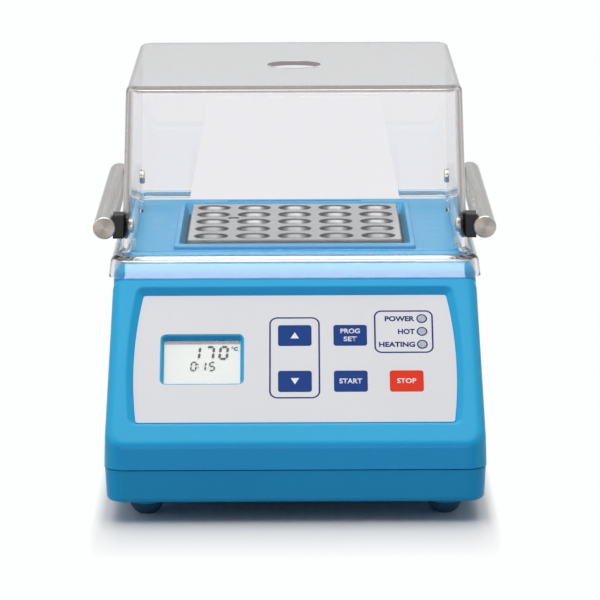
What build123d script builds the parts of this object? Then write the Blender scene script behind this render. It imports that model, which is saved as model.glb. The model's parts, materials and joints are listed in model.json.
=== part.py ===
from build123d import *
import math
import os

# Heating block for glass sample vials, with a sloped key panel and a lift-off clear cover.
# Millimetres. X runs left to right, Y from the key panel to the rear, Z up from the table.

# ---- overall sizes
CASE_WIDTH = 176.5
CASE_DEPTH = 270.0
CASE_BOTTOM_Z = 10.0
SEAM_Z = 25.8
NOSE_TOP_Z = 37.9
DECK_Z = 107.7
COVER_TOP_Z = 192.0

# ---- case shells
CASE_WALL = 2.8
CASE_CORNER_R = 9.5
CASE_DRAFT = 1.68
CASE_TOP_EDGE_R = 5.5
BOTTOM_DRAFT = 2.6
BOTTOM_EDGE_R = 2.4
SEAM_GAP = 0.5
SEAM_STEP = 0.35
TONGUE_HEIGHT = 2.2
TONGUE_THICKNESS = 1.3
TONGUE_ROOT = 4.0
FIT = 0.2
OVER = 1.0
SLIVER = 0.01
NEAR = 0.05

# ---- slope, and the ledge at its top where the cover's front skirt stands
SLOPE_RUN = 67.6
LEDGE_LENGTH = 3.4
LEDGE_DROP = 6.1
DECK_CORNER_R = 7.0

# ---- opening round the block, with its raised rim
RIM_RISE = 2.3
RIM_SIDE_WIDTH = 2.3
RIM_END_WIDTH = 8.0
RIM_CORNER_R = 3.0
RIM_EDGE_R = 0.7
OPENING_GAP = 1.5
OPENING_DRAFT_RUN = 2.3
OPENING_END_RUN = 6.1
OPENING_CORNER_R = 1.5
OPENING_MOUTH_R = 2.5
GROOVE_WIDTH = 69.0
GROOVE_LENGTH = 2.6
GROOVE_DEPTH = 0.9

# ---- heating block and its wells
BLOCK_FROM_REAR = 90.5
BLOCK_RISE = 2.7
BLOCK_BASE_THICKNESS = 11.0
BLOCK_CORNER_R = 1.2
BLOCK_EDGE = 0.6
WELL_COUNT = 5
WELL_PITCH = 20.5
WELL_R = 8.15
WELL_EDGE = 3.35
WELL_DEPTH = 55.0
WELL_CHAMFER = 0.35
PROBE_WELL_R = 3.0
PROBE_WELL_CELL = (-1.5, 0.5)

# ---- heater stack under the block
HEATER_THICKNESS = 3.0
HEATER_MARGIN = 2.5
CLAMP_THICKNESS = 2.0
BASE_INSULATION = 14.0
SIDE_INSULATION = 7.0
INSULATION_GAP = 0.5
GASKET_THICKNESS = 2.3
GASKET_WIDTH = 6.0
GASKET_GAP = 0.3
TRAY_THICKNESS = 1.2
TRAY_MARGIN_X = 10.0
TRAY_MARGIN_Y = 6.0
TRAY_SCREW_LENGTH = 9.0
TRAY_POST_R = 4.5
SHIELD_TOP_GAP = 8.0
SHIELD_SIDE_GAP = 2.0
SHIELD_FLANGE = 5.6
SHIELD_HOLE_R = 4.0
BLOCK_BOLT_CELL = 1.5
BLOCK_BOLT_R = 2.0
BLOCK_BOLT_REACH = 6.5
BLOCK_BOLT_HEAD_R = 3.6
BLOCK_BOLT_HEAD_HEIGHT = 3.4
SPACER_R = 4.0
SENSOR_R = 2.0
SENSOR_LENGTH = 27.0
SENSOR_TAIL = 4.0
SENSOR_SLEEVE_R = 2.8
SENSOR_X = 10.0
SENSOR_CLEARANCE = 0.15
CUTOUT_R = 8.0
CUTOUT_HEIGHT = 8.0
CUTOUT_CAN_HEIGHT = 5.1
CUTOUT_BASE_HEIGHT = 2.5
CUTOUT_CLEARANCE = 0.5

# ---- slope panel (lengths measured along the slope from its lower edge)
PANEL_LOW = 13.6
PANEL_HIGH = 85.7
PANEL_LOW_HALF = 73.8
PANEL_MID_HALF = 75.4
PANEL_HIGH_HALF = 71.4
PANEL_MID = 42.0
PANEL_CORNER_R = 1.3
RECESS_DEPTH = 3.2
RECESS_RUN = 3.1
RECESS_FLOOR = 1.8
RECESS_EDGE_R = 1.4
OVERLAY_THICKNESS = 0.5
OVERLAY_GAP = 0.1

# ---- keys on a square grid
KEY_LENGTH = 15.5
KEY_HEIGHT = 11.7
KEY_CORNER_R = 1.2
KEY_PITCH = 26.0
KEY_COLUMN_X = -0.1
KEY_ROW = 36.5
KEY_PROUD = 0.12
KEY_FLANGE = 0.8
KEY_FLANGE_DROP = 0.1
KEY_FLANGE_THICKNESS = 0.45
KEY_TRAVEL = 0.4
KEY_GAP = 0.12
KEY_POCKET_DEPTH = 1.1
KEY_STEM_R = 2.0
KEY_STEM_CLEARANCE = 0.3
KEYS = {
    "key_up": (0, 1),
    "key_down": (0, 0),
    "key_set": (1, 1),
    "key_start": (1, 0),
    "key_stop": (2, 0),
}

# ---- indicator lenses
LENS_X = 59.6
LENS_TOP = 71.9
LENS_PITCH = 7.35
LENS_R = 1.9
LENS_COUNT = 3
LENS_PROUD = 0.1
LENS_REACH = 1.2
LAMP_R = 1.5
LAMP_COLLAR = 0.4
LAMP_COLLAR_HEIGHT = 1.0
LAMP_GAP = 0.3

# ---- display
WINDOW_CENTRE = (-43.4, 49.2)
WINDOW_LENGTH = 37.9
WINDOW_HEIGHT = 27.2
WINDOW_CORNER_R = 2.2
WINDOW_LIP = 0.7
WINDOW_LEAST_R = 0.4
WINDOW_DRAFT_RUN = 1.1
PANE_THICKNESS = 0.6
PANE_LAP = 2.0
DISPLAY_GAP = 0.2
DISPLAY_THICKNESS = 3.7
DISPLAY_LAP = 3.2
DISPLAY_CORNER_R = 1.0

# ---- display board behind the slope
BOARD_THICKNESS = 1.6
DISPLAY_BOARD_HALF = 67.0
DISPLAY_BOARD_LOW = 20.0
DISPLAY_BOARD_HIGH = 84.0
BOARD_BOSS_R = 3.4
BOARD_SCREW_R = 1.3
BOARD_SCREW_LENGTH = 6.0
BOARD_HEAD_R = 2.6
BOARD_HEAD_HEIGHT = 1.8
BOARD_EDGE = 5.0
SWITCH_SIDE = 6.0
SWITCH_PLUNGER_R = 1.6
SWITCH_PLUNGER_TOP = 1.4
SWITCH_PLUNGER_RISE = 0.6
SWITCH_CLEARANCE = 0.05

# ---- clear cover
COVER_WALL = 2.2
COVER_DRAFT = 2.0
COVER_SIDE_INSET = 8.65
COVER_FRONT_INSET = 9.8
COVER_REAR_INSET = 19.7
COVER_CORNER_R = 8.0
COVER_TOP_EDGE_R = 3.6
SKIRT_CLEARANCE = 0.4
SKIRT_WALL = 1.95
SKIRT_LIFT = 0.6
SKIRT_CORNER_R = 9.0
SKIRT_DRAFT = 7.0
SHOULDER_RISE = 4.5
SHOULDER_EDGE_R = 3.3
SHOULDER_EDGE_BAND = 2.5
SHOULDER_ROOT_R = 2.2
SHOULDER_INNER_ROOT_R = 3.3
VENT_R = 13.1
VENT_FORWARD = 18.5
REAR_CUT_TOP_Z = 163.4
REAR_CUT_TOP_HALF = 44.4
REAR_CUT_LOW_HALF = 54.0
REAR_CUT_CORNER_R = 4.0
REAR_CUT_START = 8.0
LUG_LENGTH = 16.0
LUG_REACH = 2.5
LUG_RISE = 2.0
LUG_FRONT_SETBACK = 24.2
LUG_REAR_SETBACK = 19.3

# ---- handle bars
HANDLE_R = 5.35
HANDLE_OVERHANG = 2.4
HANDLE_RISE = 11.8
HANDLE_FRONT_SETBACK = 2.2
HANDLE_REAR_SETBACK = 1.8
HANDLE_CHAMFER = 0.5
HANDLE_FLAT = 1.0
HANDLE_SCREW_FROM_FRONT = 9.0
HANDLE_SCREW_FROM_REAR = 11.5
HANDLE_SCREW_R = 1.6
HANDLE_SCREW_REACH = 7.0
HANDLE_HEAD_R = 3.6
HANDLE_HEAD_HEIGHT = 2.6
SADDLE_HEIGHT = 11.5
SADDLE_LENGTH = 11.5
SADDLE_WRAP = 1.4
SADDLE_CORNER_R = 1.0

# ---- feet
FOOT_INSET_X = 18.85
FOOT_INSET_Y = 25.0
FOOT_BOSS_R = 8.4
FOOT_BOSS_TAPER = 0.3
FOOT_BOSS_HEIGHT = 6.0
FOOT_BOSS_WALL = 1.0
FOOT_DOME_R = 8.1
FOOT_FLAT_R = 4.2
FOOT_HEIGHT = 5.6
FOOT_STEM_R = 3.6
FOOT_STEM_HEIGHT = 4.0
FOOT_SCREW_R = 1.2
FOOT_HEAD_R = 2.2
FOOT_HEAD_HEIGHT = 1.6
FOOT_HEAD_DEPTH = 2.4
FOOT_SCREW_LENGTH = 13.0

# ---- case screws
POST_INSET_X = 12.25
POST_INSET_Y = 43.0
POST_R = 4.6
POST_HEIGHT = 20.0
POST_WEB = 3.0
CASE_SCREW_R = 1.5
CASE_HEAD_R = 3.0
CASE_HEAD_HEIGHT = 2.2
CASE_SCREW_LENGTH = 14.0
CASE_SCREW_SHANK = 22.0
SCREW_SOCKET_SHARE = 0.43
SCREW_SOCKET_DEPTH = 0.55
SCREW_HEAD_ROUND = 0.35

# ---- cooling slots in the floor
FLOOR_SLOTS = 9
FLOOR_SLOT_PITCH = 9.0
FLOOR_SLOT_WIDTH = 3.0
FLOOR_SLOT_LENGTH = 56.0

# ---- rear panel, power inlet and switch
REAR_RECESS_HALF = 60.0
REAR_RECESS_LOW_Z = 33.0
REAR_RECESS_HIGH_Z = 79.0
REAR_RECESS_DEPTH = 8.5
REAR_FLOOR_THICKNESS = 2.8
REAR_PANEL_THICKNESS = 1.5
REAR_PANEL_GAP = 0.4
REAR_SCREW_X = 55.0
REAR_SCREW_INSET = 4.5
REAR_SCREW_LENGTH = 4.2
INLET_X = -30.0
INLET_Z = 57.5
INLET_FLANGE = (50.0, 23.0)
INLET_BODY = (27.5, 20.0)
INLET_DEPTH = 18.5
INLET_SOCKET = (24.0, 16.0)
INLET_SOCKET_DEPTH = 16.0
INLET_SOCKET_BEVEL = 4.0
INLET_SCREW_PITCH = 40.0
INLET_SCREW_LENGTH = 6.1
FLANGE_THICKNESS = 2.5
FLANGE_CORNER_R = 2.0
PIN_SIZE = (2.0, 4.0)
PIN_PLACES = ((-7.0, -1.5), (7.0, -1.5), (0.0, 2.5))
PIN_SETBACK = 4.0
PIN_TAIL = 3.5
FUSE_X = 4.0
FUSE_FLANGE = (18.0, 23.0)
FUSE_BODY = (13.0, 17.0)
FUSE_DRAWER = (9.0, 13.0)
FUSE_DRAWER_DEPTH = 17.0
FUSE_WALL = 1.5
FUSE_R = 2.6
FUSE_LENGTH = 13.0
FUSE_OFFSET = 3.4
FUSE_END_GAP = 0.5
FUSE_PULL = (6.0, 1.6, 2.0)
FUSE_PULL_DROP = 1.0
SWITCH_X = 34.0
SWITCH_FLANGE = (15.0, 21.0)
SWITCH_BODY = (13.0, 19.2)
ROCKER = (10.0, 15.6)
ROCKER_END_GAP = 1.1
ROCKER_TILT = 9.0
ROCKER_GAP = 0.3
ROCKER_PROUD = 1.6
ROCKER_DISH = 1.3
ROCKER_SIDE = 1.0
ROCKER_HEEL = (2.2, 3.0)
ROCKER_AXIS_DEPTH = 3.2
ROCKER_ROOM = 5.0
ROCKER_PIN_R = 1.0
ROCKER_PIN_REACH = 0.6
ROCKER_PIN_HOLE_REACH = 0.8
ROCKER_PIN_CLEARANCE = 0.05
SWITCH_DEPTH = 17.0

# ---- power board
POWER_BOARD_HALF = 68.0
POWER_BOARD_SETBACK = 13.0
POWER_BOARD_LENGTH = 84.0
POWER_BOARD_RISE = 6.0
POWER_SCREW_LENGTH = 5.0

# ---- pieces on the power board, placed from its middle
TRANSFORMER_PLACE = (-42.0, 18.0)
TRANSFORMER_CORE = (30.0, 24.0, 27.0)
COIL = (20.0, 36.0, 20.0)
COIL_RISE = 3.0
COIL_CORNER_R = 3.0
PART_CORNER_R = 0.8
RELAY_PLACE = (-6.0, 20.0)
RELAY = (15.0, 19.0, 15.5)
SINK_PLACE = (30.0, 31.25)
SINK_BACK = (32.0, 2.5, 30.0)
FIN_COUNT = 7
FIN_PITCH = 5.1
FIN_THICKNESS = 1.4
FIN_DEPTH = 12.0
TRIAC = (10.0, 4.3, 16.0)
TRIAC_RISE = 5.0
LEG_PITCH = 2.5
LEG_SIDE = 0.8
LEG_SETBACK = 1.8
TERMINAL_PLACE = (-8.0, -14.0)
TERMINAL = (50.0, 9.0, 10.0)
TERMINAL_WAYS = 8
TERMINAL_PITCH = 6.0
TERMINAL_SCREW_R = 1.9
TERMINAL_SCREW_DEPTH = 3.6
TERMINAL_MOUTH = (3.6, 2.5, 3.5)
TERMINAL_MOUTH_RISE = 1.4
CAPACITORS = (((46.0, -4.0), 6.3, 17.0), ((32.0, -4.0), 5.0, 12.0))
CAPACITOR_EDGE_R = 0.7

# ---- values worked out from the above
HALF_WIDTH = CASE_WIDTH / 2
HALF_DEPTH = CASE_DEPTH / 2
FLOOR_Z = CASE_BOTTOM_Z + CASE_WALL
DRAFT = math.tan(math.radians(CASE_DRAFT))
LEDGE_FRONT_Y = SLOPE_RUN - HALF_DEPTH
LEDGE_Z = DECK_Z - LEDGE_DROP
RIM_TOP_Z = DECK_Z + RIM_RISE
NOSE_Y = -HALF_DEPTH + DRAFT * (NOSE_TOP_Z - SEAM_Z)
SLOPE = math.atan2(LEDGE_Z - NOSE_TOP_Z, LEDGE_FRONT_Y - NOSE_Y)
DECK_FRONT_Y = LEDGE_FRONT_Y + LEDGE_LENGTH
DECK_UNDER_Z = DECK_Z - CASE_WALL
BLOCK_SIDE = (WELL_COUNT - 1) * WELL_PITCH + 2 * (WELL_R + WELL_EDGE)
BLOCK_HALF = BLOCK_SIDE / 2
BLOCK_CENTRE_Y = HALF_DEPTH - BLOCK_FROM_REAR
BLOCK_TOP_Z = DECK_Z + BLOCK_RISE
WELL_BOTTOM_Z = BLOCK_TOP_Z - WELL_DEPTH
BLOCK_BOTTOM_Z = WELL_BOTTOM_Z - BLOCK_BASE_THICKNESS
CLAMP_TOP_Z = BLOCK_BOTTOM_Z - HEATER_THICKNESS
CLAMP_LOW_Z = CLAMP_TOP_Z - CLAMP_THICKNESS
TRAY_TOP_Z = CLAMP_LOW_Z - BASE_INSULATION
TRAY_LOW_Z = TRAY_TOP_Z - TRAY_THICKNESS
INSULATION_HALF = BLOCK_HALF + INSULATION_GAP + SIDE_INSULATION
TRAY_HALF_WIDTH = INSULATION_HALF + TRAY_MARGIN_X
TRAY_FRONT_Y = BLOCK_CENTRE_Y - INSULATION_HALF - TRAY_MARGIN_Y
TRAY_REAR_Y = BLOCK_CENTRE_Y + INSULATION_HALF + TRAY_MARGIN_Y
GASKET_LOW_Z = DECK_UNDER_Z - GASKET_THICKNESS
SENSOR_Z = (BLOCK_BOTTOM_Z + WELL_BOTTOM_Z) / 2
BLOCK_FRONT_Y = BLOCK_CENTRE_Y - BLOCK_HALF
FLOOR_DEPTH = RECESS_DEPTH + RECESS_FLOOR
OVERLAY_TOP = RECESS_DEPTH - OVERLAY_THICKNESS
PANE_UNDER = FLOOR_DEPTH + PANE_THICKNESS
DISPLAY_TOP = PANE_UNDER + DISPLAY_GAP
BOARD_TOP = DISPLAY_TOP + DISPLAY_THICKNESS
BOARD_UNDER = BOARD_TOP + BOARD_THICKNESS
KEY_FLANGE_TOP = RECESS_DEPTH + KEY_FLANGE_DROP
KEY_UNDER = KEY_FLANGE_TOP + KEY_FLANGE_THICKNESS
PLUNGER_TOP = FLOOR_DEPTH + SWITCH_PLUNGER_TOP
SWITCH_TOP = PLUNGER_TOP + SWITCH_PLUNGER_RISE
STEM_END = PLUNGER_TOP - KEY_TRAVEL - SWITCH_CLEARANCE
COVER_TAN = math.tan(math.radians(COVER_DRAFT))
COVER_HALF_WIDTH_TOP = HALF_WIDTH - COVER_SIDE_INSET
COVER_FRONT_TOP_Y = DECK_FRONT_Y + COVER_FRONT_INSET
COVER_REAR_TOP_Y = HALF_DEPTH - COVER_REAR_INSET
COVER_CENTRE_Y = (COVER_FRONT_TOP_Y + COVER_REAR_TOP_Y) / 2
SKIRT_BOTTOM_Z = LEDGE_Z + SKIRT_LIFT
SHOULDER_Z = DECK_Z + SHOULDER_RISE
VENT_Y = BLOCK_CENTRE_Y - VENT_FORWARD
LUG_Y = (COVER_FRONT_TOP_Y + LUG_FRONT_SETBACK, COVER_REAR_TOP_Y - LUG_REAR_SETBACK)
SKIRT_HALF_WIDTH = HALF_WIDTH - DRAFT * (SKIRT_BOTTOM_Z - SEAM_Z) + SKIRT_CLEARANCE + SKIRT_WALL
SKIRT_FRONT_Y = DECK_FRONT_Y - SKIRT_CLEARANCE - SKIRT_WALL
SKIRT_REAR_Y = HALF_DEPTH
SHOULDER_UNDER_Z = SHOULDER_Z - COVER_WALL
REAR_FLOOR_Y = HALF_DEPTH - REAR_RECESS_DEPTH
REAR_FACE_Y = REAR_FLOOR_Y + REAR_PANEL_THICKNESS
FLANGE_FACE_Y = REAR_FACE_Y + FLANGE_THICKNESS
REAR_SCREW_Z = (REAR_RECESS_LOW_Z + REAR_SCREW_INSET, REAR_RECESS_HIGH_Z - REAR_SCREW_INSET)
ROCKER_AXIS_Y = FLANGE_FACE_Y - ROCKER_AXIS_DEPTH
FOOT_X = HALF_WIDTH - FOOT_INSET_X
FOOT_Y = HALF_DEPTH - FOOT_INSET_Y
POST_X = HALF_WIDTH - POST_INSET_X
POST_Y = HALF_DEPTH - POST_INSET_Y
POWER_BOARD_FRONT_Y = POWER_BOARD_SETBACK - HALF_DEPTH
POWER_BOARD_REAR_Y = POWER_BOARD_FRONT_Y + POWER_BOARD_LENGTH
POWER_BOARD_MIDDLE_Y = (POWER_BOARD_FRONT_Y + POWER_BOARD_REAR_Y) / 2
POWER_BOARD_Z = FLOOR_Z + POWER_BOARD_RISE
POWER_BOARD_TOP_Z = POWER_BOARD_Z + BOARD_THICKNESS
HANDLE_X = HALF_WIDTH + HANDLE_OVERHANG
HANDLE_Z = SHOULDER_Z + HANDLE_RISE
HANDLE_FRONT_Y = COVER_FRONT_TOP_Y + HANDLE_FRONT_SETBACK
HANDLE_REAR_Y = COVER_REAR_TOP_Y - HANDLE_REAR_SETBACK
HANDLE_SCREW_Y = (HANDLE_FRONT_Y + HANDLE_SCREW_FROM_FRONT, HANDLE_REAR_Y - HANDLE_SCREW_FROM_REAR)
HANDLE_SCREW_START = HANDLE_X - HANDLE_R - HANDLE_FLAT
HANDLE_WALL_X = COVER_HALF_WIDTH_TOP + COVER_TAN * (COVER_TOP_Z - HANDLE_Z)


# ---- small building helpers

def span_box(x, y, z):
    """A box between three pairs of coordinates."""
    sizes = [high - low for low, high in (x, y, z)]
    middles = [(low + high) / 2 for low, high in (x, y, z)]
    return Pos(*middles) * Box(*sizes)


def post(x, y, low, high, radius):
    """An upright cylinder."""
    return Pos(x, y, (low + high) / 2) * Cylinder(radius, high - low)


def cone(x, y, low, high, low_radius, high_radius):
    """An upright cone frustum."""
    return Pos(x, y, (low + high) / 2) * Cone(low_radius, high_radius, high - low)


def rod_y(x, z, front, rear, radius):
    """A cylinder along Y."""
    turned = Pos(x, (front + rear) / 2, z) * Rot(90, 0, 0)
    return turned * Cylinder(radius, rear - front)


def rod_x(y, z, left, right, radius):
    """A cylinder along X."""
    turned = Pos((left + right) / 2, y, z) * Rot(0, 90, 0)
    return turned * Cylinder(radius, right - left)


def joined(pieces):
    """One body from pieces that overlap or touch."""
    body = pieces[0]
    for piece in pieces[1:]:
        body += piece
    return body


def without(body, cutters):
    """The body less every cutter."""
    for cutter in cutters:
        body -= cutter
    return body


def group(pieces):
    """Separate solids kept as one node."""
    return Compound(children=[piece.solid() for piece in pieces])


def corners(x, low_y, high_y):
    """The four places (+-x, low_y) and (+-x, high_y)."""
    return [(side * x, y) for y in (low_y, high_y) for side in (-1, 1)]


def pan_screw(radius, length, head_radius, head_height):
    """A screw along -Z with its head's underside at the origin and a hexagon socket."""
    shank = Pos(0, 0, -length / 2) * Cylinder(radius, length)
    head = Pos(0, 0, head_height / 2) * Cylinder(head_radius, head_height)
    head = fillet(head.edges().group_by(Axis.Z)[-1], head_height * SCREW_HEAD_ROUND)
    socket = extrude(RegularPolygon(head_radius * SCREW_SOCKET_SHARE, 6), head_height)
    return shank + head - Pos(0, 0, head_height * (1 - SCREW_SOCKET_DEPTH)) * socket


def small_screw(length):
    """The small screw of the boards and the rear panel."""
    return pan_screw(BOARD_SCREW_R, length, BOARD_HEAD_R, BOARD_HEAD_HEIGHT)


# ---- places on the slope

PANEL = Plane(
    origin=(0, NOSE_Y, NOSE_TOP_Z),
    x_dir=(1, 0, 0),
    z_dir=(0, -math.sin(SLOPE), math.cos(SLOPE)),
)


def on_slope(part):
    """Move a part from slope coordinates (x, up the slope, outward) into place."""
    return PANEL.location * part


def slope_box(x, up, depth):
    """A box on the slope: x range, range up the slope, range of depth below its face."""
    return span_box(x, up, (-depth[1], -depth[0]))


def slope_rod(x, up, depth, radius):
    """A cylinder square to the slope over a range of depth."""
    return post(x, up, -depth[1], -depth[0], radius)


def slope_plate(sketch, depth):
    """A flat sketch given the thickness between two depths."""
    return Pos(0, 0, -depth[1]) * extrude(sketch, depth[1] - depth[0])


def panel_outline(grow, corner):
    """Outline of the panel, bowed at its sides, grown outward by a margin."""
    low = (PANEL_LOW_HALF + grow, PANEL_LOW - grow)
    middle = (PANEL_MID_HALF + grow, PANEL_MID)
    high = (PANEL_HIGH_HALF + grow, PANEL_HIGH + grow)
    right = ThreePointArc(low, middle, high)
    left = ThreePointArc((-high[0], high[1]), (-middle[0], middle[1]), (-low[0], low[1]))
    top = Line(high, (-high[0], high[1]))
    bottom = Line((-low[0], low[1]), low)
    face = make_face([right, top, left, bottom])
    return fillet(face.vertices(), corner)


def key_centre(name):
    """A key's middle on the slope."""
    column, row = KEYS[name]
    return KEY_COLUMN_X + column * KEY_PITCH, KEY_ROW + row * KEY_PITCH


def key_outline(name, grow):
    """A key's rounded outline, grown by a margin."""
    x, up = key_centre(name)
    sketch = RectangleRounded(KEY_LENGTH + 2 * grow, KEY_HEIGHT + 2 * grow, KEY_CORNER_R + grow / 2)
    return Pos(x, up) * sketch


def window_outline(grow):
    """The display window's rounded outline, grown by a margin."""
    sketch = RectangleRounded(
        WINDOW_LENGTH + 2 * grow, WINDOW_HEIGHT + 2 * grow, max(WINDOW_CORNER_R + grow, WINDOW_LEAST_R)
    )
    return Pos(*WINDOW_CENTRE) * sketch


def lens_places():
    """The indicator lenses' middles on the slope."""
    return [(LENS_X, LENS_TOP - row * LENS_PITCH) for row in range(LENS_COUNT)]


def board_screw_places():
    """The display board's screws on the slope."""
    low = DISPLAY_BOARD_LOW + BOARD_EDGE
    high = DISPLAY_BOARD_HIGH - BOARD_EDGE
    return corners(DISPLAY_BOARD_HALF - BOARD_EDGE, low, high)


# ---- case

def side_prism(points):
    """A body of even section across the whole width, from its outline in (y, z)."""
    outline = make_face(Polyline(*points, close=True))
    return extrude(Plane.YZ * outline, CASE_WIDTH, both=True)


def case_profile():
    """Side view of the top shell: slope, ledge, step and deck."""
    far = CASE_DEPTH
    low = SEAM_Z - OVER
    front_z = NOSE_TOP_Z - math.tan(SLOPE) * (far + NOSE_Y)
    return side_prism([
        (-far, front_z),
        (LEDGE_FRONT_Y, LEDGE_Z),
        (DECK_FRONT_Y, LEDGE_Z),
        (DECK_FRONT_Y, DECK_Z),
        (far, DECK_Z),
        (far, low),
        (-far, low),
    ])


def hollow_profile():
    """Side view of the room inside the top shell."""
    far = CASE_DEPTH
    low = SEAM_Z - 2 * OVER
    rise = math.tan(SLOPE)
    start_z = NOSE_TOP_Z - FLOOR_DEPTH / math.cos(SLOPE)
    crest_y = NOSE_Y + (DECK_UNDER_Z - start_z) / rise
    low_y = NOSE_Y - (start_z - low) / rise
    return side_prism([(low_y, low), (crest_y, DECK_UNDER_Z), (far, DECK_UNDER_Z), (far, low)])


def case_plan(inset, low_z, high_z):
    """Plan of the top shell drafted inward as it rises."""
    plan = RectangleRounded(
        CASE_WIDTH - 2 * inset, CASE_DEPTH - 2 * inset, CASE_CORNER_R - inset
    )
    return Pos(0, 0, low_z) * extrude(plan, high_z - low_z, taper=CASE_DRAFT)


def edge_box(edge):
    """Low and high corners of an edge's bounding box."""
    box = edge.bounding_box()
    return box.min, box.max


def step_corner_edges(body):
    """The two near-upright edges at the ends of the deck's front step."""
    chosen = []
    for edge in body.edges():
        low, high = edge_box(edge)
        upright = high.Z - low.Z > DECK_Z - LEDGE_Z - 2 * NEAR
        at_step = abs(edge.center().Y - DECK_FRONT_Y) < NEAR
        if upright and at_step:
            chosen.append(edge)
    return chosen


def deck_edges(body):
    """The closed loop round the deck."""
    return [edge for edge in body.edges() if edge_box(edge)[0].Z > DECK_Z - NEAR]


def slope_edges(body):
    """The open chain along the nose and up both sides of the slope."""
    chosen = []
    for edge in body.edges():
        low, high = edge_box(edge)
        in_height = low.Z > NOSE_TOP_Z - OVER and high.Z < LEDGE_Z + NEAR
        crest = abs(edge.center().Y - LEDGE_FRONT_Y) < NEAR and high.X - low.X > CASE_WIDTH / 2
        behind = high.Z - low.Z < 2 * NEAR and low.Y > DECK_FRONT_Y - NEAR
        if in_height and not crest and not behind:
            chosen.append(edge)
    return chosen


def top_shell_outside():
    """Closed outer body of the top shell, edges rounded."""
    body = case_plan(0, SEAM_Z, DECK_Z + OVER) & case_profile()
    body = fillet(step_corner_edges(body), DECK_CORNER_R)
    body = fillet(deck_edges(body), CASE_TOP_EDGE_R)
    return fillet(slope_edges(body), CASE_TOP_EDGE_R)


def rim_block(grow_x, grow_y, low_z, high_z, corner):
    """An upright rounded block round the heating block's place."""
    plan = RectangleRounded(BLOCK_SIDE + 2 * grow_x, BLOCK_SIDE + 2 * grow_y, corner)
    return Pos(0, BLOCK_CENTRE_Y, low_z) * extrude(plan, high_z - low_z)


def opening_cutter():
    """The deck opening, wider at the top."""
    low = Pos(0, BLOCK_CENTRE_Y, DECK_UNDER_Z) * RectangleRounded(
        BLOCK_SIDE + 2 * OPENING_GAP, BLOCK_SIDE + 2 * OPENING_GAP, OPENING_CORNER_R
    )
    high = Pos(0, BLOCK_CENTRE_Y, RIM_TOP_Z) * RectangleRounded(
        BLOCK_SIDE + 2 * (OPENING_GAP + OPENING_DRAFT_RUN),
        BLOCK_SIDE + 2 * (OPENING_GAP + OPENING_END_RUN),
        OPENING_MOUTH_R,
    )
    low_z = DECK_UNDER_Z - OVER
    throat = rim_block(OPENING_GAP, OPENING_GAP, low_z, DECK_UNDER_Z, OPENING_CORNER_R)
    crown = rim_block(
        OPENING_GAP + OPENING_DRAFT_RUN, OPENING_GAP + OPENING_END_RUN,
        RIM_TOP_Z, RIM_TOP_Z + OVER, OPENING_MOUTH_R,
    )
    return loft([low.face(), high.face()], ruled=True) + throat + crown


def raised_rim():
    """Solid rim that stands on the deck round the opening."""
    side = OPENING_GAP + OPENING_DRAFT_RUN + RIM_SIDE_WIDTH
    end = OPENING_GAP + OPENING_END_RUN + RIM_END_WIDTH
    rim = rim_block(side, end, DECK_UNDER_Z + OVER / 2, RIM_TOP_Z, RIM_CORNER_R)
    return fillet(rim.edges().group_by(Axis.Z)[-1], RIM_EDGE_R)


def rear_groove():
    """Shallow groove across the rear of the rim."""
    middle = BLOCK_CENTRE_Y + BLOCK_HALF + OPENING_GAP + OPENING_END_RUN + RIM_END_WIDTH / 2
    half = GROOVE_LENGTH / 2
    return span_box(
        (-GROOVE_WIDTH / 2, GROOVE_WIDTH / 2),
        (middle - half, middle + half),
        (RIM_TOP_Z - GROOVE_DEPTH, RIM_TOP_Z + OVER),
    )


def panel_recess():
    """Cutter for the panel's recess, its walls sloping inward."""
    outline = panel_outline(RECESS_RUN, PANEL_CORNER_R + RECESS_RUN)
    outer = Pos(0, 0, SLIVER) * outline
    inner = Pos(0, 0, -RECESS_DEPTH) * panel_outline(0, PANEL_CORNER_R)
    mouth = Pos(0, 0, SLIVER) * extrude(outline, 2 * OVER)
    return loft([inner.face(), outer.face()], ruled=True) + mouth


def recess_mouth_edges(body):
    """The loop of edges where the recess meets the slope."""
    to_slope = PANEL.location.inverse()
    reach = RECESS_RUN + OVER / 2
    chosen = []
    for edge in body.edges():
        places = [(to_slope * Pos(*tuple(edge.position_at(part)))).position for part in (0, 0.5, 1)]
        on_face = all(abs(place.Z) < NEAR for place in places)
        in_width = all(abs(place.X) < PANEL_MID_HALF + reach for place in places)
        above = all(place.Y > PANEL_LOW - reach for place in places)
        below = all(place.Y < PANEL_HIGH + reach for place in places)
        if on_face and in_width and above and below:
            chosen.append(edge)
    return chosen


def window_cutter():
    """Cutter for the display window through the recess floor."""
    upper = Pos(0, 0, -RECESS_DEPTH + SLIVER) * window_outline(0)
    lower = Pos(0, 0, -FLOOR_DEPTH - SLIVER) * window_outline(-WINDOW_DRAFT_RUN)
    return loft([lower.face(), upper.face()], ruled=True)


def key_cutters():
    """Pocket and stem hole under each key."""
    cutters = []
    for name in KEYS:
        x, up = key_centre(name)
        pocket = key_outline(name, KEY_FLANGE + FIT)
        cutters.append(slope_plate(pocket, (RECESS_DEPTH - SLIVER, RECESS_DEPTH + KEY_POCKET_DEPTH)))
        hole = (RECESS_DEPTH, FLOOR_DEPTH + OVER)
        cutters.append(slope_rod(x, up, hole, KEY_STEM_R + KEY_STEM_CLEARANCE))
    return cutters


def board_bosses():
    """Bosses behind the slope that carry the display board."""
    bosses = []
    for x, up in board_screw_places():
        bosses.append(slope_rod(x, up, (FLOOR_DEPTH - OVER / 2, BOARD_TOP), BOARD_BOSS_R))
    return bosses


def rear_recess():
    """Cutter for the recess that takes the rear panel."""
    half = REAR_RECESS_HALF
    height = (REAR_RECESS_LOW_Z, REAR_RECESS_HIGH_Z)
    return span_box((-half, half), (REAR_FLOOR_Y, HALF_DEPTH + OVER), height)


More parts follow.
